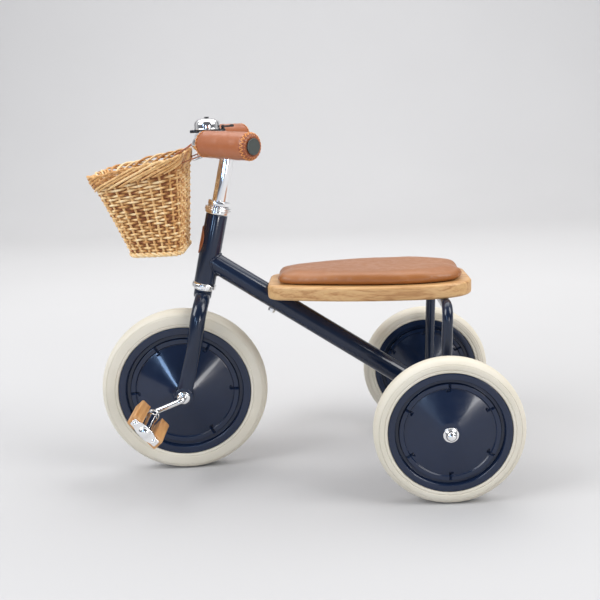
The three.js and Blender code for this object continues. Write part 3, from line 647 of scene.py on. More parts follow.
def make_rear_wheel(name, sign):
    body = f"rear_{name}_wheel"
    place = at(Vector(joints[body + "_spin"]["pos_m"]))
    piece(body + "_tyre", tyre(REAR), place, body, "tyre_rubber", f"rear_{name}_tyre")
    for node, hub, side in (("outer_disc", REAR_OUTER_HUB, sign), ("inner_disc", REAR_INNER_HUB, -sign)):
        piece(f"{body}_{node}", disc(REAR, hub, side), place, body, "wheel_paint", f"rear_{name}_{node}")
    face = REAR_OUTER_HUB + 0.3
    shoulder = face + 2
    washer = [(5.4, sign * face), (12.5, sign * face), (12.5, sign * shoulder), (5.4, sign * shoulder)]
    piece(name + "_washer", turned(washer), place, "frame", "chrome", name + "_axle_washer")
    nut = [
        (0.01, 0.3, 0), (10.2, 0.3, 0.3), (10.2, 1.6, 0.8), (8.6, 2.2, 0.8), (8.6, 5.2, 1.5), (7.4, 8.6, 3),
        (4.2, 11, 3), (0.01, 11.6, 0),
    ]
    shape = turned([(r, sign * (shoulder + y), trim) for r, y, trim in nut])
    piece(name + "_cap_nut", shape, place, "frame", "chrome", name + "_axle_cap_nut")


def make_front_wheel():
    piece("front_wheel_tyre", tyre(FRONT), STEERING, "front_wheel", "tyre_rubber", "front_tyre")
    turn = Matrix.Rotation(math.radians(30), 4, "Y")
    for name, sign in SIDES.items():
        shape = disc(FRONT, FRONT_HUB, sign)
        node = f"front_{name}_disc"
        piece(f"front_wheel_{name}_disc", shape, STEERING @ turn, "front_wheel", "wheel_paint", node)
    elbow = Vector((0, -CRANK_Y, 0))
    left = [spindle_point(-1, PEDAL_END), KNEE, elbow]
    path = bent([*left, *[-point for point in reversed(left)]], 9, 2.5)
    piece("bent_crank", swept(path, CRANK_ROD, 28), STEERING, "front_wheel", "chrome", "crank_axle")


def spindle_point(sign, distance):
    """A point on a pedal's spindle, by its distance along it from the middle plane."""
    along = Vector((math.sin(PEDAL_SPLAY), math.cos(PEDAL_SPLAY), 0))
    return (KNEE + along * (CRANK_Y - distance)) * -sign


# Pedals ----------------------------------------------------------------------------------------------------


def block_shape(direction):
    inner, outer = BLOCK["offset"] - BLOCK["width"] / 2, BLOCK["offset"] + BLOCK["width"] / 2
    cut, half = BLOCK["chamfer"], BLOCK["height"] / 2
    corners = [
        (inner, -half), (outer - cut, -half), (outer, cut - half), (outer, half - cut), (outer - cut, half),
        (inner, half),
    ]
    outline = rounded(corners, 1.2, 4)
    if direction < 0:
        outline = (outline * [-1, 1])[::-1]
    return upright(slab(outline, BLOCK["start"], BLOCK["end"], 0.9, 4), BLOCK["start"], BLOCK["end"])


def plate_shape():
    half_length, half_width, boss = PLATE["half_length"], PLATE["half_width"], PLATE["boss"]
    shoulder = 7
    corners = [
        (-half_length, -half_width, 2),
        (-boss - shoulder, -half_width, 4),
        (-boss + 1, -boss + 2, 7),
        (boss - 1, -boss + 2, 7),
        (boss + shoulder, -half_width, 4),
        (half_length, -half_width, 2),
        (half_length, half_width, 2),
        (boss + shoulder, half_width, 4),
        (boss - 1, boss - 2, 7),
        (-boss + 1, boss - 2, 7),
        (-boss - shoulder, half_width, 4),
        (-half_length, half_width, 2),
    ]
    start, end = PLATE["start"], PLATE["start"] + PLATE["thick"]
    plate = upright(slab(rounded(corners, 2, 7), start, end, 0.7, 4), start, end)
    dome = [(0.01, end - 1, 0), (10.4, end - 1, 0.2), (10.2, end + 0.6, 0.9), (8.6, end + 1.2, 0.8)]
    dome += [(8.2, end + 2.4, 1.5), (4.5, end + 4.2, 3), (0.01, end + 4.5, 0)]
    return joined(plate, turned(dome))


def make_pedal(name, sign):
    body = name + "_pedal"
    place = STEERING @ at(spindle_point(sign, 0) * MM) @ Matrix.Rotation(-PEDAL_SPLAY, 4, "Z")
    facing = Matrix.Rotation(0 if sign > 0 else math.pi, 4, "Z")
    place = place @ Matrix.Rotation(-sign * PEDAL_TILT, 4, "Y") @ facing
    radius, flange, start, shoulder = BARREL["radius"], BARREL["flange"], BARREL["start"], BARREL["shoulder"]
    barrel = [
        (5.4, start), (flange, start, 1), (flange, shoulder, 1), (radius + 0.3, shoulder + 0.8, 0.6),
        (radius + 0.3, 96, 1),
    ]
    barrel += [
        (radius - 1, 98, 1), (radius - 1, 150, 1), (radius, 152, 1), (radius, BLOCK["end"] - 0.1),
        (5.4, BLOCK["end"] - 0.1),
    ]
    piece(body + "_sleeve", turned(barrel), place, body, "chrome", body + "_barrel")
    piece(body + "_cap_plate", plate_shape(), place, body, "chrome", body + "_end_plate")
    for end, side in (("front", -1), ("rear", 1)):
        direction = side * sign
        x = direction * SCREW_OFFSET
        piece(f"{body}_{end}_tread", block_shape(direction), place, body, "pedal_wood", f"{body}_{end}_block")
        head = PLATE["start"] + PLATE["thick"] + 0.1
        screw = [
            (0.01, 150, 0), (1.9, 150, 0.3), (1.9, head, 0), (4.1, head, 0.3), (3.9, head + 1.2, 0.8),
            (2.2, head + 1.9, 0.6), (1.9, head + 1, 0.3), (0.01, head + 0.9, 0),
        ]
        shape = moved(turned(screw, 28), at((x, 0, 0)))
        piece(f"{body}_{end}_pan_screw", shape, place, body, "chrome", f"{body}_{end}_screw")


# Frame -----------------------------------------------------------------------------------------------------


def weld(start, direction, radius, target, target_axis, target_radius, bead):
    """A weld bead where a tube from start runs out of another tube's side."""
    start, direction, target, axis = (np.array(v, float) for v in (start, direction, target, target_axis))
    across = np.cross(direction, axis)
    across /= np.linalg.norm(across)
    over = np.cross(direction, across)
    path = []
    for angle in circle(72):
        foot = start + radius * (math.cos(angle) * across + math.sin(angle) * over) - target
        flat_foot, flat_way = foot - axis * foot.dot(axis), direction - axis * direction.dot(axis)
        a = flat_way.dot(flat_way)
        b = 2 * flat_foot.dot(flat_way)
        c = flat_foot.dot(flat_foot) - target_radius**2
        reach = (-b + math.sqrt(max(b * b - 4 * a * c, 0))) / (2 * a)
        path.append(foot + target + direction * reach)
    path = np.array(path)
    step = np.roll(path, -1, axis=0) - np.roll(path, 1, axis=0)
    normals = np.cross(step, direction)
    normals /= np.linalg.norm(normals, axis=1)[:, None]
    ripple = bead * (1 + 0.10 * np.sin(np.arange(len(path)) * 2.2))
    angles = circle(10)
    rings = [
        p + s * (np.outer(np.cos(angles), n) + np.outer(np.sin(angles), direction))
        for p, n, s in zip(path, normals, ripple)
    ]
    return skin(rings, closed=True)


def make_frame():
    rear = np.array(joints["rear_left_wheel_spin"]["pos_m"]) / MM
    rear[1] = 0
    hub = np.array(HUB) / MM
    up = np.array(COLUMN_UP)
    top = hub + up * DOWN_TUBE["meets"]
    along = (rear - top) / np.linalg.norm(rear - top)
    outer, low, high = HEAD["outer"], HEAD["low"], HEAD["high"]
    head = standing([(15.8, low), (outer, low, 1), (outer, high, 1), (15.8, high)], 64)
    head = moved(head, at(HUB / MM) @ HEAD_FRAME.to_3x3().to_4x4())
    down = swept([top, top + along * 60, top + (rear - top) * 0.5, rear], DOWN_TUBE["outer"], 64)
    half = AXLE_TUBE["half"]
    wall = AXLE_TUBE["outer"]
    tube = moved(turned([(5.5, -half), (wall, -half, 1), (wall, half, 1), (5.5, half)], 48), at(rear))
    beads = [
        weld(top, along, DOWN_TUBE["outer"], hub, up, outer, WELD),
        weld(rear, -along, DOWN_TUBE["outer"], rear, (0, 1, 0), AXLE_TUBE["outer"], WELD),
    ]
    piece("welded_frame", joined(head, down, tube, *beads), WORLD, "frame", "frame_paint", "main_frame")

    low_corner, high_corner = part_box("rear_stay")
    foot_z, top_z = low_corner.z / MM - 0.5, high_corner.z / MM - STAY["outer"]
    spread = STAY["half_spread"]
    left = [(rear[0] + STAY["foot"], -spread, foot_z), (rear[0] + STAY["top"], -spread, top_z)]
    right = [(x, -y, z) for x, y, z in reversed(left)]
    hoop = swept(bent([*left, *right], STAY["bend"]), STAY["outer"], 40)
    feet = []
    for x, y, z in (left[0], right[1]):
        foot = (x, y, rear[2])
        feet.append(weld(foot, (0, 0, 1), STAY["outer"], rear, (0, 1, 0), AXLE_TUBE["outer"] + 0.6, 1.8))
    piece("stay_hoop", joined(hoop, *feet), WORLD, "frame", "frame_paint", "rear_stay")


def make_badge():
    """A leather oval wrapped round the front of the head tube."""
    middle, half_width, half_height = 275, 15, 25
    inner, thick = HEAD["outer"] + 0.1, 1.7
    rings = []
    layers = [
        (0.0, thick), (0.5, thick), (0.8, thick), (0.88, thick + 0.2), (0.95, thick), (0.99, thick * 0.7),
    ]
    layers += [(1.0, thick * 0.3), (1.0, 0), (0.5, 0), (0.0, 0)]
    for share, depth in layers:
        ring = []
        for angle in circle(64):
            turn = share * half_width * math.cos(angle) / inner
            radius = inner + depth
            height = middle + share * half_height * math.sin(angle)
            ring.append((-radius * math.cos(turn), radius * math.sin(turn), height))
        rings.append(np.array(ring))
    piece("badge_oval", skin(rings), HEAD_FRAME, "frame", "trim_leather", "head_badge")


def make_headset():
    low, high = HEAD["low"], HEAD["high"]
    lower = [
        (15.2, low + 1), (19.4, low - 0.2), (21.6, low - 2.6, 1), (21.6, low - 9.5, 1.4), (20.2, low - 9.6),
        (20.2, low - 4), (15.2, low - 4),
    ]
    upper = [
        (15.2, high - 1), (19.4, high + 0.2), (21.6, high + 2, 1), (21.6, high + 6.4, 1),
        (20.2, high + 6.5), (20.2, high + 3), (15.2, high + 3),
    ]
    piece("lower_cup", standing(lower), HEAD_FRAME, "frame", "chrome", "lower_headset_cup")
    piece("upper_cup", standing(upper), HEAD_FRAME, "frame", "chrome", "upper_headset_cup")
    race = [
        (14.6, high + 6.8), (23.4, high + 6.8, 0.5), (23.4, high + 9.2, 0.8), (21.4, high + 10.1),
        (22.9, high + 11), (22.9, high + 13, 0.9), (14.6, high + 13),
    ]
    piece("adjusting_ring", standing(race), COLUMN, "steering", "chrome", "adjusting_race")
    washer = [(14.6, high + 13.3), (19.5, high + 13.3), (19.5, high + 14.8), (14.6, high + 14.8)]
    piece("lock_ring", standing(washer, radius=0.4), COLUMN, "steering", "chrome", "lock_washer")
    hexagon = rounded([(19 * math.cos(a), 19 * math.sin(a), 1.2) for a in np.arange(6) * math.pi / 3], 1.2, 5)
    nut = slab(hexagon, high + 15.1, high + 23.6, 1.2)
    piece("hex_locknut", nut, COLUMN, "steering", "chrome", "headset_locknut")
    crown = [(14.6, 188.2), (17.4, 188.2, 0.8), (17.4, 191.4, 1.2), (14.6, 191.4)]
    piece("fork_race", standing(crown), COLUMN, "steering", "chrome", "crown_race")


# Seat ------------------------------------------------------------------------------------------------------


def bezier(points, steps):
    points = [np.array(point, float) for point in points]
    curve = []
    for t in np.linspace(0, 1, steps, endpoint=False):
        level = points
        while len(level) > 1:
            level = [a + (b - a) * t for a, b in zip(level, level[1:])]
        curve.append(level[0])
    return curve


def seat_outline(front, rear):
    wide, narrow, flat = SEAT_WIDE, SEAT_NARROW, SEAT_FLAT
    nose, tail = front + 27, rear - 104
    half = bezier([(front, -flat), (front, -narrow + 6), (nose, -narrow)], 12)
    half += bezier([(nose, -narrow), (front + 90, -wide + 14), (front + 160, -wide), (tail, -wide)], 24)
    half += bezier([(tail, -wide), (rear - 42, -wide), (rear, -wide + 20), (rear, -flat)], 20)
    half = np.array([*half, (rear, -flat)])
    return np.concatenate([half, (half * [1, -1])[::-1]])


def make_board():
    low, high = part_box("seat_board")
    outline = seat_outline(low.x / MM, high.x / MM)
    shape = slab(outline, low.z / MM, high.z / MM, BOARD_EDGE, 7)
    piece("oak_seat_board", shape, WORLD, "frame", "oak", "seat_board")


def swell(pad, cap):
    """Blows the pad up a little by cloth simulation, keeping each point within the cap."""
    rest = np.array([vertex.co for vertex in pad.data.vertices])
    floor = rest[:, 2].min()
    held = pad.vertex_groups.new(name="held")
    held.add([i for i, z in enumerate(rest[:, 2]) if z < floor + 0.002], 1.0, "REPLACE")
    cloth = pad.modifiers.new("swell", "CLOTH")
    cloth.settings.use_pressure = True
    cloth.settings.uniform_pressure_force = PRESSURE
    cloth.settings.effector_weights.gravity = 0
    cloth.settings.vertex_group_mass = "held"
    for step in range(1, CLOTH_STEPS + 1):
        bpy.context.scene.frame_set(step)
    blown = pad.evaluated_get(bpy.context.evaluated_depsgraph_get())
    moves = evened(pad.data, np.array([vertex.co for vertex in blown.data.vertices]) - rest)
    pad.modifiers.clear()
    lengths = np.linalg.norm(moves, axis=1)
    moves *= np.minimum(1, cap / np.maximum(lengths, 1e-9))[:, None]
    swollen = rest + moves
    swollen[:, 2] = np.maximum(swollen[:, 2], floor)
    pad.data.vertices.foreach_set("co", swollen.ravel())
    bpy.context.scene.frame_set(1)


def evened(mesh, moves):
    """Averages each point's move with its neighbours' moves, so that the leather swells without wrinkles."""
    edges = np.array([edge.vertices[:] for edge in mesh.edges])
    neighbours = np.bincount(edges.ravel(), minlength=len(moves))[:, None]
    for _ in range(SWELL_EVENING):
        total = np.zeros_like(moves)
        np.add.at(total, edges[:, 0], moves[edges[:, 1]])
        np.add.at(total, edges[:, 1], moves[edges[:, 0]])
        moves = (moves + total / neighbours) / 2
    return moves


def make_cushion():
    low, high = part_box("seat_cushion")
    mesh = frame["nodes"]["seat_cushion"].data.copy()
    pad = bpy.data.objects.new("seat_pad", mesh)
    bpy.context.scene.collection.objects.link(pad)
    middle = (low + high) / 2
    foot = at((middle.x, 0, low.z))
    mesh.transform(foot @ Matrix.Diagonal((*CUSHION_SHRINK, 1)) @ foot.inverted())
    remesh = pad.modifiers.new("even", "REMESH")
    remesh.mode = "VOXEL"
    remesh.voxel_size = CUSHION_VOXEL
    even = bpy.data.meshes.new_from_object(pad.evaluated_get(bpy.context.evaluated_depsgraph_get()))
    pad.modifiers.clear()
    pad.data = even
    swell(pad, CUSHION_CAP)
    smooth_pad(pad, low.z)
    even = pad.data
    even.shade_smooth()
    even.materials.clear()
    even.materials.append(MATERIALS["cushion_leather"])
    pad.modifiers.new("fine", "SUBSURF").render_levels = 1
    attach(pad, "frame")
    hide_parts("seat_cushion")


def smooth_pad(pad, floor):
    """Evens out the remeshed surface, leaving its flat base where it rests on the board."""
    made = bmesh.new()
    made.from_mesh(pad.data)
    for _ in range(CUSHION_SMOOTHING):
        axes = {"use_axis_" + axis: True for axis in "xyz"}
        bmesh.ops.smooth_vert(made, verts=made.verts, factor=0.5, **axes)
    for vertex in made.verts:
        vertex.co.z = max(vertex.co.z, floor)
    made.to_mesh(pad.data)
    made.free()


# Fork, stem and handlebar ----------------------------------------------------------------------------------


def make_fork():
    stations = [(0, 3, 178), (0.8, 22, 173), (0.2, 38, 160), (0.2, 45.5, 138), (1.8, 48, 88), (0, 48, 4)]
    shapes = []
    for sign in SIDES.values():
        path = flowing([(x, sign * y, z) for x, y, z in stations], 14)
        points, faces = swept(path, BLADE, 36)
        flat = np.clip((100 - points[:, 2]) / 60, 0, 1)
        flat = flat * flat * (3 - 2 * flat)
        squeeze = 1 + (DROPOUT["half"] / BLADE - 1) * flat
        lower = points[:, 2] < 100
        points[lower, 1] = sign * DROPOUT["y"] + (points[lower, 1] - sign * DROPOUT["y"]) * squeeze[lower]
        points[:, 0] *= BLADE_WIDTH
        shapes.append((points, faces))
        inner, outer = sign * (DROPOUT["y"] - DROPOUT["half"]), sign * (DROPOUT["y"] + DROPOUT["half"])
        radius = DROPOUT["radius"]
        shapes.append(turned([(9.2, inner), (radius, inner, 1.6), (radius, outer, 1.6), (9.2, outer)], 56))
    shapes.append(standing([(0.01, 172, 0), (CROWN, 172, 4), (CROWN, 188, 1.2), (0.01, 188, 0)], 48))
    steerer = standing([(13, 186), (14.3, 186), (14.3, 347), (13, 347)], 40)
    piece("fork_body", joined(*shapes, steerer), COLUMN, "steering", "frame_paint", "fork")
    for name, sign in SIDES.items():
        inner, outer = DROPOUT["y"] - DROPOUT["half"] - 2, DROPOUT["y"] + DROPOUT["half"] + 0.2
        profile = [
            (5.4, inner), (9.1, inner), (9.1, outer, 0), (11.4, outer, 0.4), (11.4, outer + 1.4, 0.8),
            (8.8, outer + 2.8, 1), (5.4, outer + 2.8, 0.5),
        ]
        shape = turned([(r, sign * p[0], *p[1:]) for r, *p in profile])
        piece(name + "_bush", shape, COLUMN, "steering", "chrome", name + "_axle_bushing")


def make_stem():
    reach, height = CLAMP["reach"], CLAMP["height"]
    outer, low, high = QUILL["outer"], QUILL["low"], QUILL["high"]
    quill = standing([(0.01, low, 0), (outer, low, 0.5), (outer, high, 2.5), (0.01, high, 0)], 48)
    neck = []
    sections = [(-reach, 9, 9), (-reach + 10, 9.5, 8), (-12, 10.5, 7.5), (-4, 11.5, 7)]
    for x, half_width, half_height in sections:
        outline = rectangle(half_width, half_height, 5, 6)
        neck.append(np.array([(x, y, height - 1 + z) for y, z in outline]))
    half, radius = CLAMP["half"], CLAMP["radius"]
    ring = [(11.4, -half), (radius - 1.2, -half, 1), (radius, -half + 4, 3)]
    ring += [(radius, half - 4, 3), (radius - 1.2, half, 1), (11.4, half)]
    ring = moved(turned(ring, 48), at((-reach, 0, height)))
    piece("stem_body", joined(quill, skin(neck), ring), STEM_FRAME, "steering", "chrome", "stem")
    top = high + 0.2
    bolt = [(0.01, top, 0), (7, top, 0.4), (7, top + 5.8, 1.2), (3.4, top + 5.8, 0.3)]
    bolt += [(3.4, top + 2.5, 0.3), (0.01, top + 2.5, 0)]
    piece("stem_cap_bolt", standing(bolt), STEM_FRAME, "steering", "chrome", "stem_bolt")


def bar_side(sign):
    return [Vector((x, sign * y, z)) for x, y, z in BAR_CORNERS]


def grip_frame(sign):
    """A frame on the outer stretch of the bar: Y runs outwards from the bend, and Z points up."""
    _, _, bend, end = bar_side(sign)
    along = (end - bend).normalized()
    x = along.cross(Vector((0, 0, 1))).normalized()
    return BARS @ standing_frame(bend * MM, x, along, x.cross(along))


def make_grip(name, sign):
    radius, length = GRIP["radius"], GRIP["length"]
    place = grip_frame(sign) @ shifted(0, GRIP["start"], 0)
    profile = [(11.4, 0, 0.3), (14, -0.4, 1), (18.8, 3.6, 2.5), (20.5, 10, 5), (radius, 22, 8)]
    profile += [(radius, t, 0) for t in range(30, int(length) - 20, 6)]
    profile += [
        (radius, length - 15, 3), *[(radius - 0.06 * k, length - 12 + k, 0) for k in range(5)],
        (20.2, length - 6.5, 2), (18.6, length - 1.8, 1.5), (16.6, length - 1.0, 0.8),
        (13.4, length - 0.2, 0.8), (12.5, length - 1.4, 0.3), (11.4, length - 1.4, 0),
    ]

    def worn(r, y, angle):
        gathered = max(0.0, (y - length + 13) / 12) + max(0.0, (5 - y) / 8)
        pleat = 0.55 * gathered * math.cos(LACES * angle) if r > 12.6 else 0
        crease = 0.28 * math.sin(0.17 * y + 2 * math.cos(angle)) + 0.2 * math.sin(0.31 * y + 3 * angle)
        seam = -0.9 * math.exp(-((((angle - SEAM_ANGLE + math.pi) % (2 * math.pi)) - math.pi) * r / 1.1) ** 2)
        return r + pleat + (crease + seam if r > 17 else 0), y

    shape = turned(profile, 132, 0.6, worn)
    points = shape[0]
    scallop = 0.9 * np.abs(np.cos(LACES / 2 * np.arctan2(points[:, 2], points[:, 0])))
    laced_zone = (points[:, 1] > length - 9.5 + scallop) | (points[:, 1] < 5 - scallop)
    piece(name + "_grip_cover", shape, place, "steering", "trim_leather", name + "_grip", tones=laced_zone)
    stitches = []
    ends = [((13.6, length - 0.6), (20.9, length - 8), 1), ((14.6, 0.2), (20.0, 6.5), -1)]
    for k in range(LACES):
        angle = 2 * math.pi * (k + 0.5) / LACES
        for inner, outer, outwards in ends:
            for lean in (-0.13, 0.13):
                a = (inner[0] * math.cos(angle - lean), inner[1], inner[0] * math.sin(angle - lean))
                b = (outer[0] * math.cos(angle + lean), outer[1], outer[0] * math.sin(angle + lean))
                stitches.append(laced(a, b, 0.8, outwards))
    for y in np.arange(12, length - 14, 4.6):
        a, b = SEAM_ANGLE - 0.1, SEAM_ANGLE + 0.1
        r = radius + 0.1
        start, end = (r * math.cos(a), y, r * math.sin(a)), (r * math.cos(b), y + 2.2, r * math.sin(b))
        stitches.append(stitch(start, end, 0.5))
    piece(name + "_grip_thread", joined(*stitches), place, "steering", "trim_leather", material=THREAD)

    end = (bar_side(sign)[3] - bar_side(sign)[2]).length
    plug = [
        (0.01, -11, 0), (8.3, -11, 0.8), (8.3, 0.3, 0), (12.5, 0.3, 0.4), (12.5, 1.8, 0.8),
        (11.2, 2.6, 0.5), (10.6, 2.0, 0.4), (0.01, 2.9, 0),
    ]
    place = grip_frame(sign) @ shifted(0, end, 0)
    piece(name + "_end_plug", turned(plug), place, "steering", "dark_plastic", name + "_bar_plug")


def laced(start, end, radius, outwards):
    """A lacing thread over a grip's rounded end. outwards is 1 at the outer end and -1 at the inner."""
    start, end = np.array(start, float), np.array(end, float)
    path = []
    for t in np.linspace(0, 1, 6):
        point = start + (end - start) * t
        bulge = 2.1 * math.sin(math.pi * t)
        point *= [1 + bulge / 18, 1, 1 + bulge / 18]
        point[1] += 0.9 * math.sin(math.pi * t) * outwards
        path.append(point)
    return swept(path, radius, 6, [0.4, 1, 1, 1, 1, 0.4])


def make_handlebar():
    right = bar_side(1)
    left = bar_side(-1)
    corners = [*reversed(left[1:]), *right[1:]]
    tube = swept(bent(corners, BAR_TRIM, 3), BAR, 36)
    piece("bent_handlebar", tube, BARS, "steering", "chrome", "handlebar")
    for name, sign in SIDES.items():
        make_grip(name, sign)


def make_bell():
    x, y, _ = BELL
    shoulder, bend = bar_side(1)[1:3]
    share = (y - shoulder.y) / (bend.y - shoulder.y)
    on_bar = shoulder.lerp(bend, share)
    along = (bend - shoulder).normalized()
    clamp = turned([(11.6, -5), (14.2, -5, 1), (14.2, 5, 1), (11.6, 5)], 40)
    side = along.cross(Vector((0, 0, 1))).normalized()
    clamp = moved(clamp, standing_frame(on_bar, side, along, side.cross(along)))
    base = [
        (0.01, -10, 0), (7, -10, 1), (7, -5, 1), (22.4, -5, 0.8), (23.2, -3.4, 0.6), (22.8, -2.3, 0.4),
        (4, -2.3, 0.4),
    ]
    base += [
        (4, 12, 0.4), (2.2, 12.4, 0.4), (2.2, 18.3, 0.2), (4.6, 18.3, 0.4), (4.4, 19.6, 0.8),
        (0.01, 19.9, 0),
    ]
    base = moved(standing(base, 56), at(BELL))
    tab = rounded([(-31, -5), (-14, -6.5), (-14, 6.5), (-31, 5)], 3, 5)
    tab = moved(slab(tab, -7.6, -2.4, 1.4), at(BELL))
    pivot_x, pivot_y = LEVER_PIVOT[0] - x, LEVER_PIVOT[1] - y
    tip, low, high = pivot_x + 4.5, pivot_y - 4.5, pivot_y + 4.5
    ear = moved(slab(rounded([(12, -6), (tip, low), (tip, high), (12, 6)], 3, 5), -6.6, -2.4, 1.2), at(BELL))
    pin = [
        (0.01, -5, 0), (3.4, -5, 0.5), (3.2, -0.2, 0.5), (1.5, -0.2, 0.2), (1.5, 3.2, 0), (2.6, 3.2, 0.3),
        (2.4, 4.2, 0.5), (0.01, 4.4, 0),
    ]
    pin = moved(standing(pin, 24), at(LEVER_PIVOT))
    shape = joined(clamp, base, tab, ear, pin)
    piece("bell_clamp_and_base", shape, BARS, "steering", "bell_black", "bell_base")
    r = BELL_RADIUS
    dome = [
        (r, -2.1, 0.5), (r + 0.2, -0.8, 0.5), (r - 0.3, 0.2, 0.3), (r - 0.1, 7, 4), (r - 1.6, 11.8, 3),
        (r - 6.2, 15.2, 4), (9.5, 17.4, 4), (2.8, 18.1, 0.6),
    ]
    dome += [
        (2.6, 16.7, 0), (9, 16, 3), (r - 7, 13.8, 4), (r - 3, 10.6, 3), (r - 1.5, 6.5, 3),
        (r - 1.5, -2.1, 0.4),
    ]
    piece("bell_cap", moved(standing(dome, 72), at(BELL)), BARS, "steering", "chrome", "bell_dome")
    arm = [
        (-3.6, 0), (-2.4, -3.3), (3, -3.3), (8, -2.3), (16.5, -4.6), (20, -1.5), (20, 1.5), (16.5, 4.6),
        (8, 2.3), (3, 3.3), (-2.4, 3.3),
    ]
    lever = slab(rounded(arm, 2.4, 5), 0.1, 3.1, 0.9)
    knob = standing([(0.01, 2.4, 0), (3.6, 2.4, 0.4), (3.4, 4.4, 1.2), (0.01, 5, 0)], 32)
    knob = moved(knob, at((16, 0, 0)))
    shape = moved(joined(lever, knob), at(LEVER_PIVOT))
    piece("bell_thumb_lever", shape, BARS, "bell_lever", "bell_black", "bell_lever")


# Basket ----------------------------------------------------------------------------------------------------


def basket_outline(count):
    """The rim's outline about its own middle as evenly spaced points, and their outward directions."""
    hx, hy, corner = BASKET["rim_half_x"], BASKET["rim_half_y"], BASKET["corner"]
    dense_outline = []
    for cx, cy, first in ((hx, -hy, -90), (hx, hy, 0), (-hx, hy, 90), (-hx, -hy, 180)):
        sx, sy = math.copysign(1, cx), math.copysign(1, cy)
        for angle in np.radians(np.linspace(first, first + 90, 24)):
            x = cx - sx * corner + corner * math.cos(angle)
            y = cy - sy * corner + corner * math.sin(angle)
            dense_outline.append((x, y))
    ring = np.array([*dense_outline, dense_outline[0]])
    lengths = np.concatenate([[0], np.cumsum(np.linalg.norm(np.diff(ring, axis=0), axis=1))])
    wanted = np.linspace(0, lengths[-1], count, endpoint=False)
    points = np.column_stack([np.interp(wanted, lengths, ring[:, 0]), np.interp(wanted, lengths, ring[:, 1])])
    return points, outward(points)


OUTLINE, OUTLINE_NORMALS = basket_outline(OUTLINE_STEPS)


def on_basket(turn, up, inset, drop=0.0):
    """A point of the basket at a share of the way round and a share of the way up, and its outward way."""
    position = (turn % 1.0) * OUTLINE_STEPS
    first = int(position) % OUTLINE_STEPS
    share = position - int(position)
    second = (first + 1) % OUTLINE_STEPS
    flat = OUTLINE[first] * (1 - share) + OUTLINE[second] * share
    normal = OUTLINE_NORMALS[first] * (1 - share) + OUTLINE_NORMALS[second] * share
    grow_x = 1 + (up - 1) * (1 - BASKET["floor_half_x"] / BASKET["rim_half_x"])
    grow_y = 1 + (up - 1) * (1 - BASKET["floor_half_y"] / BASKET["rim_half_y"])
    middle = BASKET["floor_middle"] + (BASKET["rim_middle"] - BASKET["floor_middle"]) * up
    x = middle + flat[0] * grow_x - normal[0] * inset
    y = flat[1] * grow_y - normal[1] * inset
    back = (x - BASKET["rim_middle"] + BASKET["rim_half_x"]) / (2 * BASKET["rim_half_x"])
    rim = BASKET["rim_front"] + (BASKET["rim_back"] - BASKET["rim_front"]) * back
    z = BASKET["bottom"] + (rim - BASKET["bottom"]) * up + BASKET["lean"] * y - drop
    return np.array([x, y, z]), np.array([normal[0], normal[1], 0.0])


class Wickerwork:
    """Gathers strands into one shape, each with its own tone, which holds random colour and, on the woven and
    inner rows, painted shade.
    """

    def __init__(self):
        self.shapes = []
        self.tones = []

    def add(self, shape, tone):
        self.shapes.append(shape)
        self.tones.append(np.broadcast_to(tone, len(shape[0])).astype(float))

    def finish(self, name):
        tones = np.concatenate(self.tones)
        piece(name, joined(*self.shapes), BASKET_FRAME, "steering", "wicker", "basket", tones=tones, sharp=80)


def weave_rows(work, chance):
    """Strands that go round the wall, before one stake and behind the next, each row out of step, with painted
    shade where they pass behind a stake.
    """
    steps = STAKES * 7
    for row in range(ROWS):
        up = ROW_LOW + (ROW_HIGH - ROW_LOW) * row / (ROWS - 1)
        thickness = chance.uniform(0.9, 1.08)
        path, normals, tones = [], [], []
        shade = [chance.uniform(0.25, 0.9) for _ in range(STAKES)]
        for k in range(steps):
            turn = k / steps
            wave = math.cos(math.pi * STAKES * turn + row * math.pi)
            offset = 4 - WEAVE * math.copysign(abs(wave) ** 0.7, wave)
            lift = 0.25 * math.sin(37 * turn * math.pi + row)
            point, normal = on_basket(turn, up, offset, -lift)
            path.append(point)
            normals.append(normal)
            here = turn * STAKES / 2 + 0.5 * row
            # Each dash has a random tone, and painted shade lowers it by up to 0.5 where the strand dips behind a
            # stake.
            tones.append(shade[int(here) % STAKES] - 0.5 * (0.5 - 0.5 * wave))
        shape = loop(path, np.array([0, 0, 1.0]), STRAND[0] * thickness, STRAND[1] * thickness, 8, normals)
        work.add(shape, np.repeat(tones, 8))


def painted_shade_rows(work):
    """Plain dark inner strands that close the gaps between the rows, painted shade where shadow falls between
    them.
    """
    steps = STAKES * 5
    for row in range(ROWS + 1):
        up = ROW_LOW + (ROW_HIGH - ROW_LOW) * (row - 0.5) / (ROWS - 1)
        around = [on_basket(k / steps, up, 6.0) for k in range(steps)]
        path, normals = zip(*around)
        # The low tone of 0.08 paints these strands as shade.
        work.add(loop(path, np.array([0, 0, 1.0]), 1.2, 1.6, 6, normals), 0.08)


def weave_stakes(work, chance):
    for stake in range(STAKES):
        turn = (stake + chance.uniform(-0.08, 0.08)) / STAKES
        path = [on_basket(turn, up, 4.2)[0] for up in np.linspace(0.01, 0.93, 14)]
        work.add(swept(path, 2.1, 8), chance.uniform(0.25, 0.6))


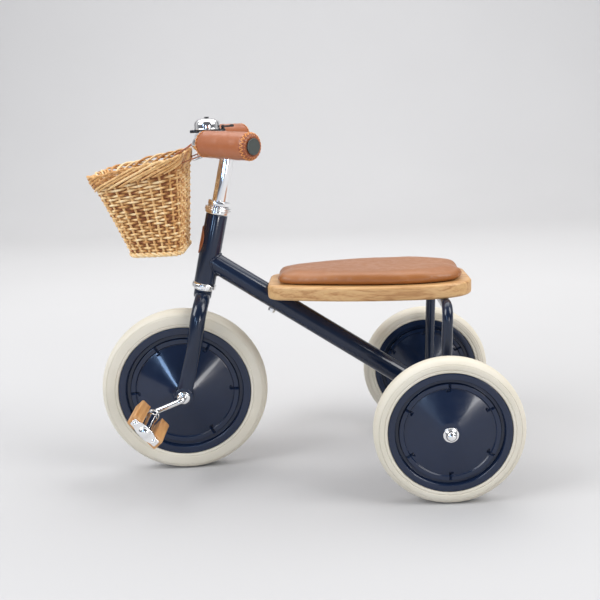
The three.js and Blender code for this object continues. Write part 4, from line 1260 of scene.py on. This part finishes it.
def weave_rim(work, chance):
    """Each rod comes up inside, crosses the rim and runs down the outside across several stakes."""
    for rod in range(RIM_RODS):
        path = []
        for t in np.linspace(0, 1, 26):
            turn = -(rod / RIM_RODS + RIM_REACH * t)
            over = min(1.0, t / 0.3)
            inset = 8.4 - 8.6 * over * over * (3 - 2 * over)
            fall = 12 * (1 - over) ** 1.5 if t < 0.3 else 21 * ((t - 0.3) / 0.7) ** 1.15
            crest = 2.2 * math.sin(math.pi * min(1, t / 0.55))
            path.append(on_basket(turn, 1.0, inset, fall - crest)[0] + wall_slope(turn, fall))
        taper = np.interp(np.linspace(0, 1, 26), [0, 0.06, 0.85, 1], [0.5, 0.9, 1, 0.55])
        shift = chance.uniform(-1.6, 1.6)
        path = [point + [0, 0, shift * min(1, 4 * k / 25)] for k, point in enumerate(path)]
        work.add(swept(path, chance.uniform(1.9, 2.4), 8, taper), chance.uniform(0.12, 0.72))


def wall_slope(turn, fall):
    """How far the wall has moved in at a height below the rim."""
    top, _ = on_basket(turn, 1.0, 0)
    lower, _ = on_basket(turn, 0.8, 0)
    return (lower - top) * [1, 1, 0] * fall / max(top[2] - lower[2], 1)


def weave_foot(work, chance):
    """A plaited border round the floor's edge."""
    for strand in range(3):
        for piece_index in range(5):
            path = []
            for t in np.linspace(0, 1, 60):
                turn = (piece_index + t * 1.04) / 5
                phase = 2 * math.pi * (turn * 13 + strand / 3)
                path.append(on_basket(turn, 0.022, 3.6 + 2.6 * math.cos(phase), -2.4 * math.sin(phase))[0])
            taper = np.interp(np.linspace(0, 1, 60), [0, 0.05, 0.95, 1], [0.6, 1, 1, 0.6])
            work.add(swept(path, 2.3, 8, taper), chance.uniform(0.45, 0.9))


def weave_floor(work, chance):
    middle = np.array([BASKET["floor_middle"], 0, BASKET["bottom"] + 4.5])
    steps = 150
    spokes = 20
    for ring in range(10):
        size = 0.97 - 0.092 * ring
        path, normals = [], []
        for k in range(steps):
            edge, normal = on_basket(k / steps, 0.0, 5)
            point = middle + (edge - middle) * [size, size, 1]
            wave = math.cos(2 * math.pi * spokes / 2 * k / steps + ring * math.pi)
            path.append([point[0], point[1], middle[2] + BASKET["lean"] * point[1] + 1.6 * wave])
            normals.append(normal)
        work.add(loop(path, np.array([0, 0, 1.0]), 2.5, 1.7, 6, normals), chance.uniform(0.35, 0.85))
    for spoke in range(spokes):
        edge, _ = on_basket(spoke / spokes, 0.0, 4)
        start = middle + (edge - middle) * [0.04, 0.04, 1]
        start[2] = middle[2]
        edge[2] = middle[2] + BASKET["lean"] * edge[1]
        work.add(swept([start, (start + edge) / 2, edge], 1.7, 6), 0.4)


def make_basket():
    chance = random.Random(RANDOM_SEED)
    work = Wickerwork()
    weave_stakes(work, chance)
    weave_rows(work, chance)
    painted_shade_rows(work)
    weave_rim(work, chance)
    weave_foot(work, chance)
    weave_floor(work, chance)
    work.finish("willow_basket")


def strap_path(bar, rim):
    """The line of a loop round the handlebar and under the basket's rim, in X and Z."""
    angle = math.atan2(bar[1] - rim[1], bar[0] - rim[0])
    points = []
    for centre, inner, side in ((bar, STRAP["bar_radius"], -1), (rim, STRAP["rim_radius"], 1)):
        radius = inner + STRAP["thick"] / 2
        first = angle + side * math.pi / 2
        for turn in np.linspace(first, first + math.pi, 22):
            points.append((centre[0] + radius * math.cos(turn), centre[1] + radius * math.sin(turn)))
    return np.array(points)


def bar_beside(sign, y):
    """Where the handlebar passes beside the basket, in the basket's frame, in X and Z."""
    to_basket = BASKET_FRAME.inverted() @ BARS
    shoulder, bend = ((to_basket @ (point * MM)) / MM for point in bar_side(sign)[1:3])
    on_bar = shoulder.lerp(bend, (y - shoulder.y) / (bend.y - shoulder.y))
    return on_bar.x, on_bar.z


def ribbon(line, normals, y, half_width, thick):
    """A band of leather along a closed line in X and Z."""
    section = rectangle(half_width, thick / 2, 0.8, 4)
    rings = []
    for (x, z), (nx, nz) in zip(line, normals):
        rings.append(np.array([(x + nx * out, y + side, z + nz * out) for side, out in section]))
    return skin(rings, closed=True)


def make_strap(name, sign):
    y = sign * STRAP["y"]
    bar = bar_beside(sign, y)
    rim = (BASKET["rim_middle"] + BASKET["rim_half_x"] - 3, BASKET["rim_back"] - 4 + BASKET["lean"] * y)
    line = strap_path(bar, rim)
    normals = outward(line)
    band = ribbon(line, normals, y, STRAP["half"], STRAP["thick"])
    piece(name + "_hanging_strap", band, BASKET_FRAME, "steering", "trim_leather", name + "_strap")
    stitches = []
    for k in range(0, len(line), 2):
        here, there = line[k], line[(k + 1) % len(line)]
        for edge in (-1, 1):
            out = STRAP["thick"] / 2 + 0.1
            a, b = here + normals[k] * out, there + normals[(k + 1) % len(line)] * out
            side = y + edge * (STRAP["half"] - 1.6)
            stitches.append(stitch((a[0], side, a[1]), (b[0], side, b[1]), 0.35))
    thread = joined(*stitches)
    piece(name + "_strap_thread", thread, BASKET_FRAME, "steering", "trim_leather", material=THREAD)
    make_buckle(name, line, normals, y)


def make_buckle(name, line, normals, y):
    """A small metal frame with its tongue on the strap's rear run."""
    spot = len(line) - 1
    centre = (line[spot] + line[0]) / 2
    normal = normals[spot]
    along = np.array([-normal[1], normal[0]])
    half, reach = STRAP["half"] + 2.2, 7.5
    corners = rectangle(half, reach, 3, 5)
    lift = STRAP["thick"] / 2 + 1.3

    def on_strap(up, out, sideways):
        x, z = centre + along * up + normal * out
        return np.array([x, y + sideways, z])

    path = np.array([on_strap(up, lift, sideways) for sideways, up in corners])
    across = np.array([normal[0], 0, normal[1]])
    step = np.roll(path, -1, axis=0) - np.roll(path, 1, axis=0)
    sides = np.cross(step, across)
    sides /= np.linalg.norm(sides, axis=1)[:, None]
    outline = loop(path, across, 1.2, 1.2, 8, sides)
    root, tip = on_strap(-reach, lift + 0.8, 0), on_strap(reach, lift + 1.2, 0)
    tongue = swept([root, (root + tip) / 2, tip], 0.9, 8)
    piece(name + "_strap_buckle", joined(outline, tongue), BASKET_FRAME, "steering", "steel")


# What the CAD still shows, and the studio ------------------------------------------------------------------


def dress_cad_nodes():
    """Gives each CAD node that still shows its material."""
    slots = {row["node"]: row["material_slot"] for row in frame["record"]["subparts"]}
    for name, node in frame["nodes"].items():
        if not node.hide_render:
            node.data.materials.clear()
            node.data.materials.append(MATERIALS[slots[name]])


def make_camera():
    a, e, r = CAMERA_AZIMUTH, CAMERA_ELEVATION, CAMERA_ROLL
    back = Vector((math.sin(a) * math.cos(e), -math.cos(a) * math.cos(e), math.sin(e)))
    right = Vector((math.cos(a), math.sin(a), 0))
    up = back.cross(right)
    camera = bpy.data.objects.new("camera", bpy.data.cameras.new("camera"))
    camera.data.sensor_width = 36
    camera.data.lens = CAMERA_LENS
    turned_right = right * math.cos(r) + up * math.sin(r)
    turned_up = up * math.cos(r) - right * math.sin(r)
    camera.matrix_world = standing_frame(CAMERA_AT, turned_right, turned_up, back)
    bpy.context.scene.collection.objects.link(camera)
    bpy.context.scene.camera = camera


def make_floor():
    """A pale floor that curves up into a wall behind."""
    width, front, bend, top, radius = 9.0, -6.0, 3.2, 5.0, 1.6
    profile = [(front, 0.0), (bend, 0.0)]
    profile += [
        (bend + radius * math.sin(t), radius - radius * math.cos(t))
        for t in np.linspace(0.08, math.pi / 2, 18)
    ]
    profile.append((bend + radius, top))
    points = [(x, y, z) for y, z in profile for x in (-width, width)]
    faces = [(2 * i, 2 * i + 1, 2 * i + 3, 2 * i + 2) for i in range(len(profile) - 1)]
    mesh = bpy.data.meshes.new("studio_floor")
    mesh.from_pydata(points, [], faces)
    mesh.shade_smooth()
    look = Look("studio_paper", roughness=0.85)
    stops = [(0.3, (0.475, 0.47, 0.472)), (0.7, (0.495, 0.49, 0.492))]
    look.set("Base Color", look.ramp(look.noise(0.7), stops))
    mesh.materials.append(look.material)
    floor = bpy.data.objects.new("studio_floor", mesh)
    bpy.context.scene.collection.objects.link(floor)


def add_light(name, place, target, size, power, colour):
    data = bpy.data.lights.new(name, "AREA")
    data.shape = "RECTANGLE"
    data.size, data.size_y = size
    data.energy = power
    data.color = colour
    light = bpy.data.objects.new(name, data)
    light.location = place
    light.rotation_euler = (Vector(target) - Vector(place)).to_track_quat("-Z", "Y").to_euler()
    bpy.context.scene.collection.objects.link(light)


def make_studio():
    make_floor()
    world = bpy.data.worlds.new("studio")
    world.use_nodes = True
    tree = world.node_tree
    coordinates = tree.nodes.new("ShaderNodeTexCoord")
    facing = tree.nodes.new("ShaderNodeVectorMath")
    facing.operation = "DOT_PRODUCT"
    facing.inputs[1].default_value = BRIGHT_SIDE
    tree.links.new(coordinates.outputs["Generated"], facing.inputs[0])
    ramp = tree.nodes.new("ShaderNodeValToRGB")
    spread = tree.nodes.new("ShaderNodeMapRange")
    spread.inputs["From Min"].default_value = -1
    tree.links.new(facing.outputs["Value"], spread.inputs["Value"])
    tree.links.new(spread.outputs[0], ramp.inputs["Fac"])
    elements = ramp.color_ramp.elements
    elements[0].position, elements[0].color = 0.3, (0.13, 0.137, 0.155, 1)
    elements[1].position, elements[1].color = 0.85, (1, 1, 1, 1)
    background = tree.nodes["Background"]
    tree.links.new(ramp.outputs[0], background.inputs["Color"])
    background.inputs["Strength"].default_value = WORLD_STRENGTH
    bpy.context.scene.world = world
    for name, place, size, power, colour, target in LIGHTS:
        add_light(name, place, target, size, power, colour)
    bpy.context.scene.view_settings.view_transform = "Standard"


make_camera()
make_studio()
make_frame()
make_badge()
make_headset()
make_board()
make_cushion()
make_fork()
make_stem()
make_handlebar()
make_bell()
make_basket()
make_front_wheel()
for side_name, side_sign in SIDES.items():
    make_strap(side_name, side_sign)
    make_rear_wheel(side_name, side_sign)
    make_pedal(side_name, side_sign)
dress_cad_nodes()
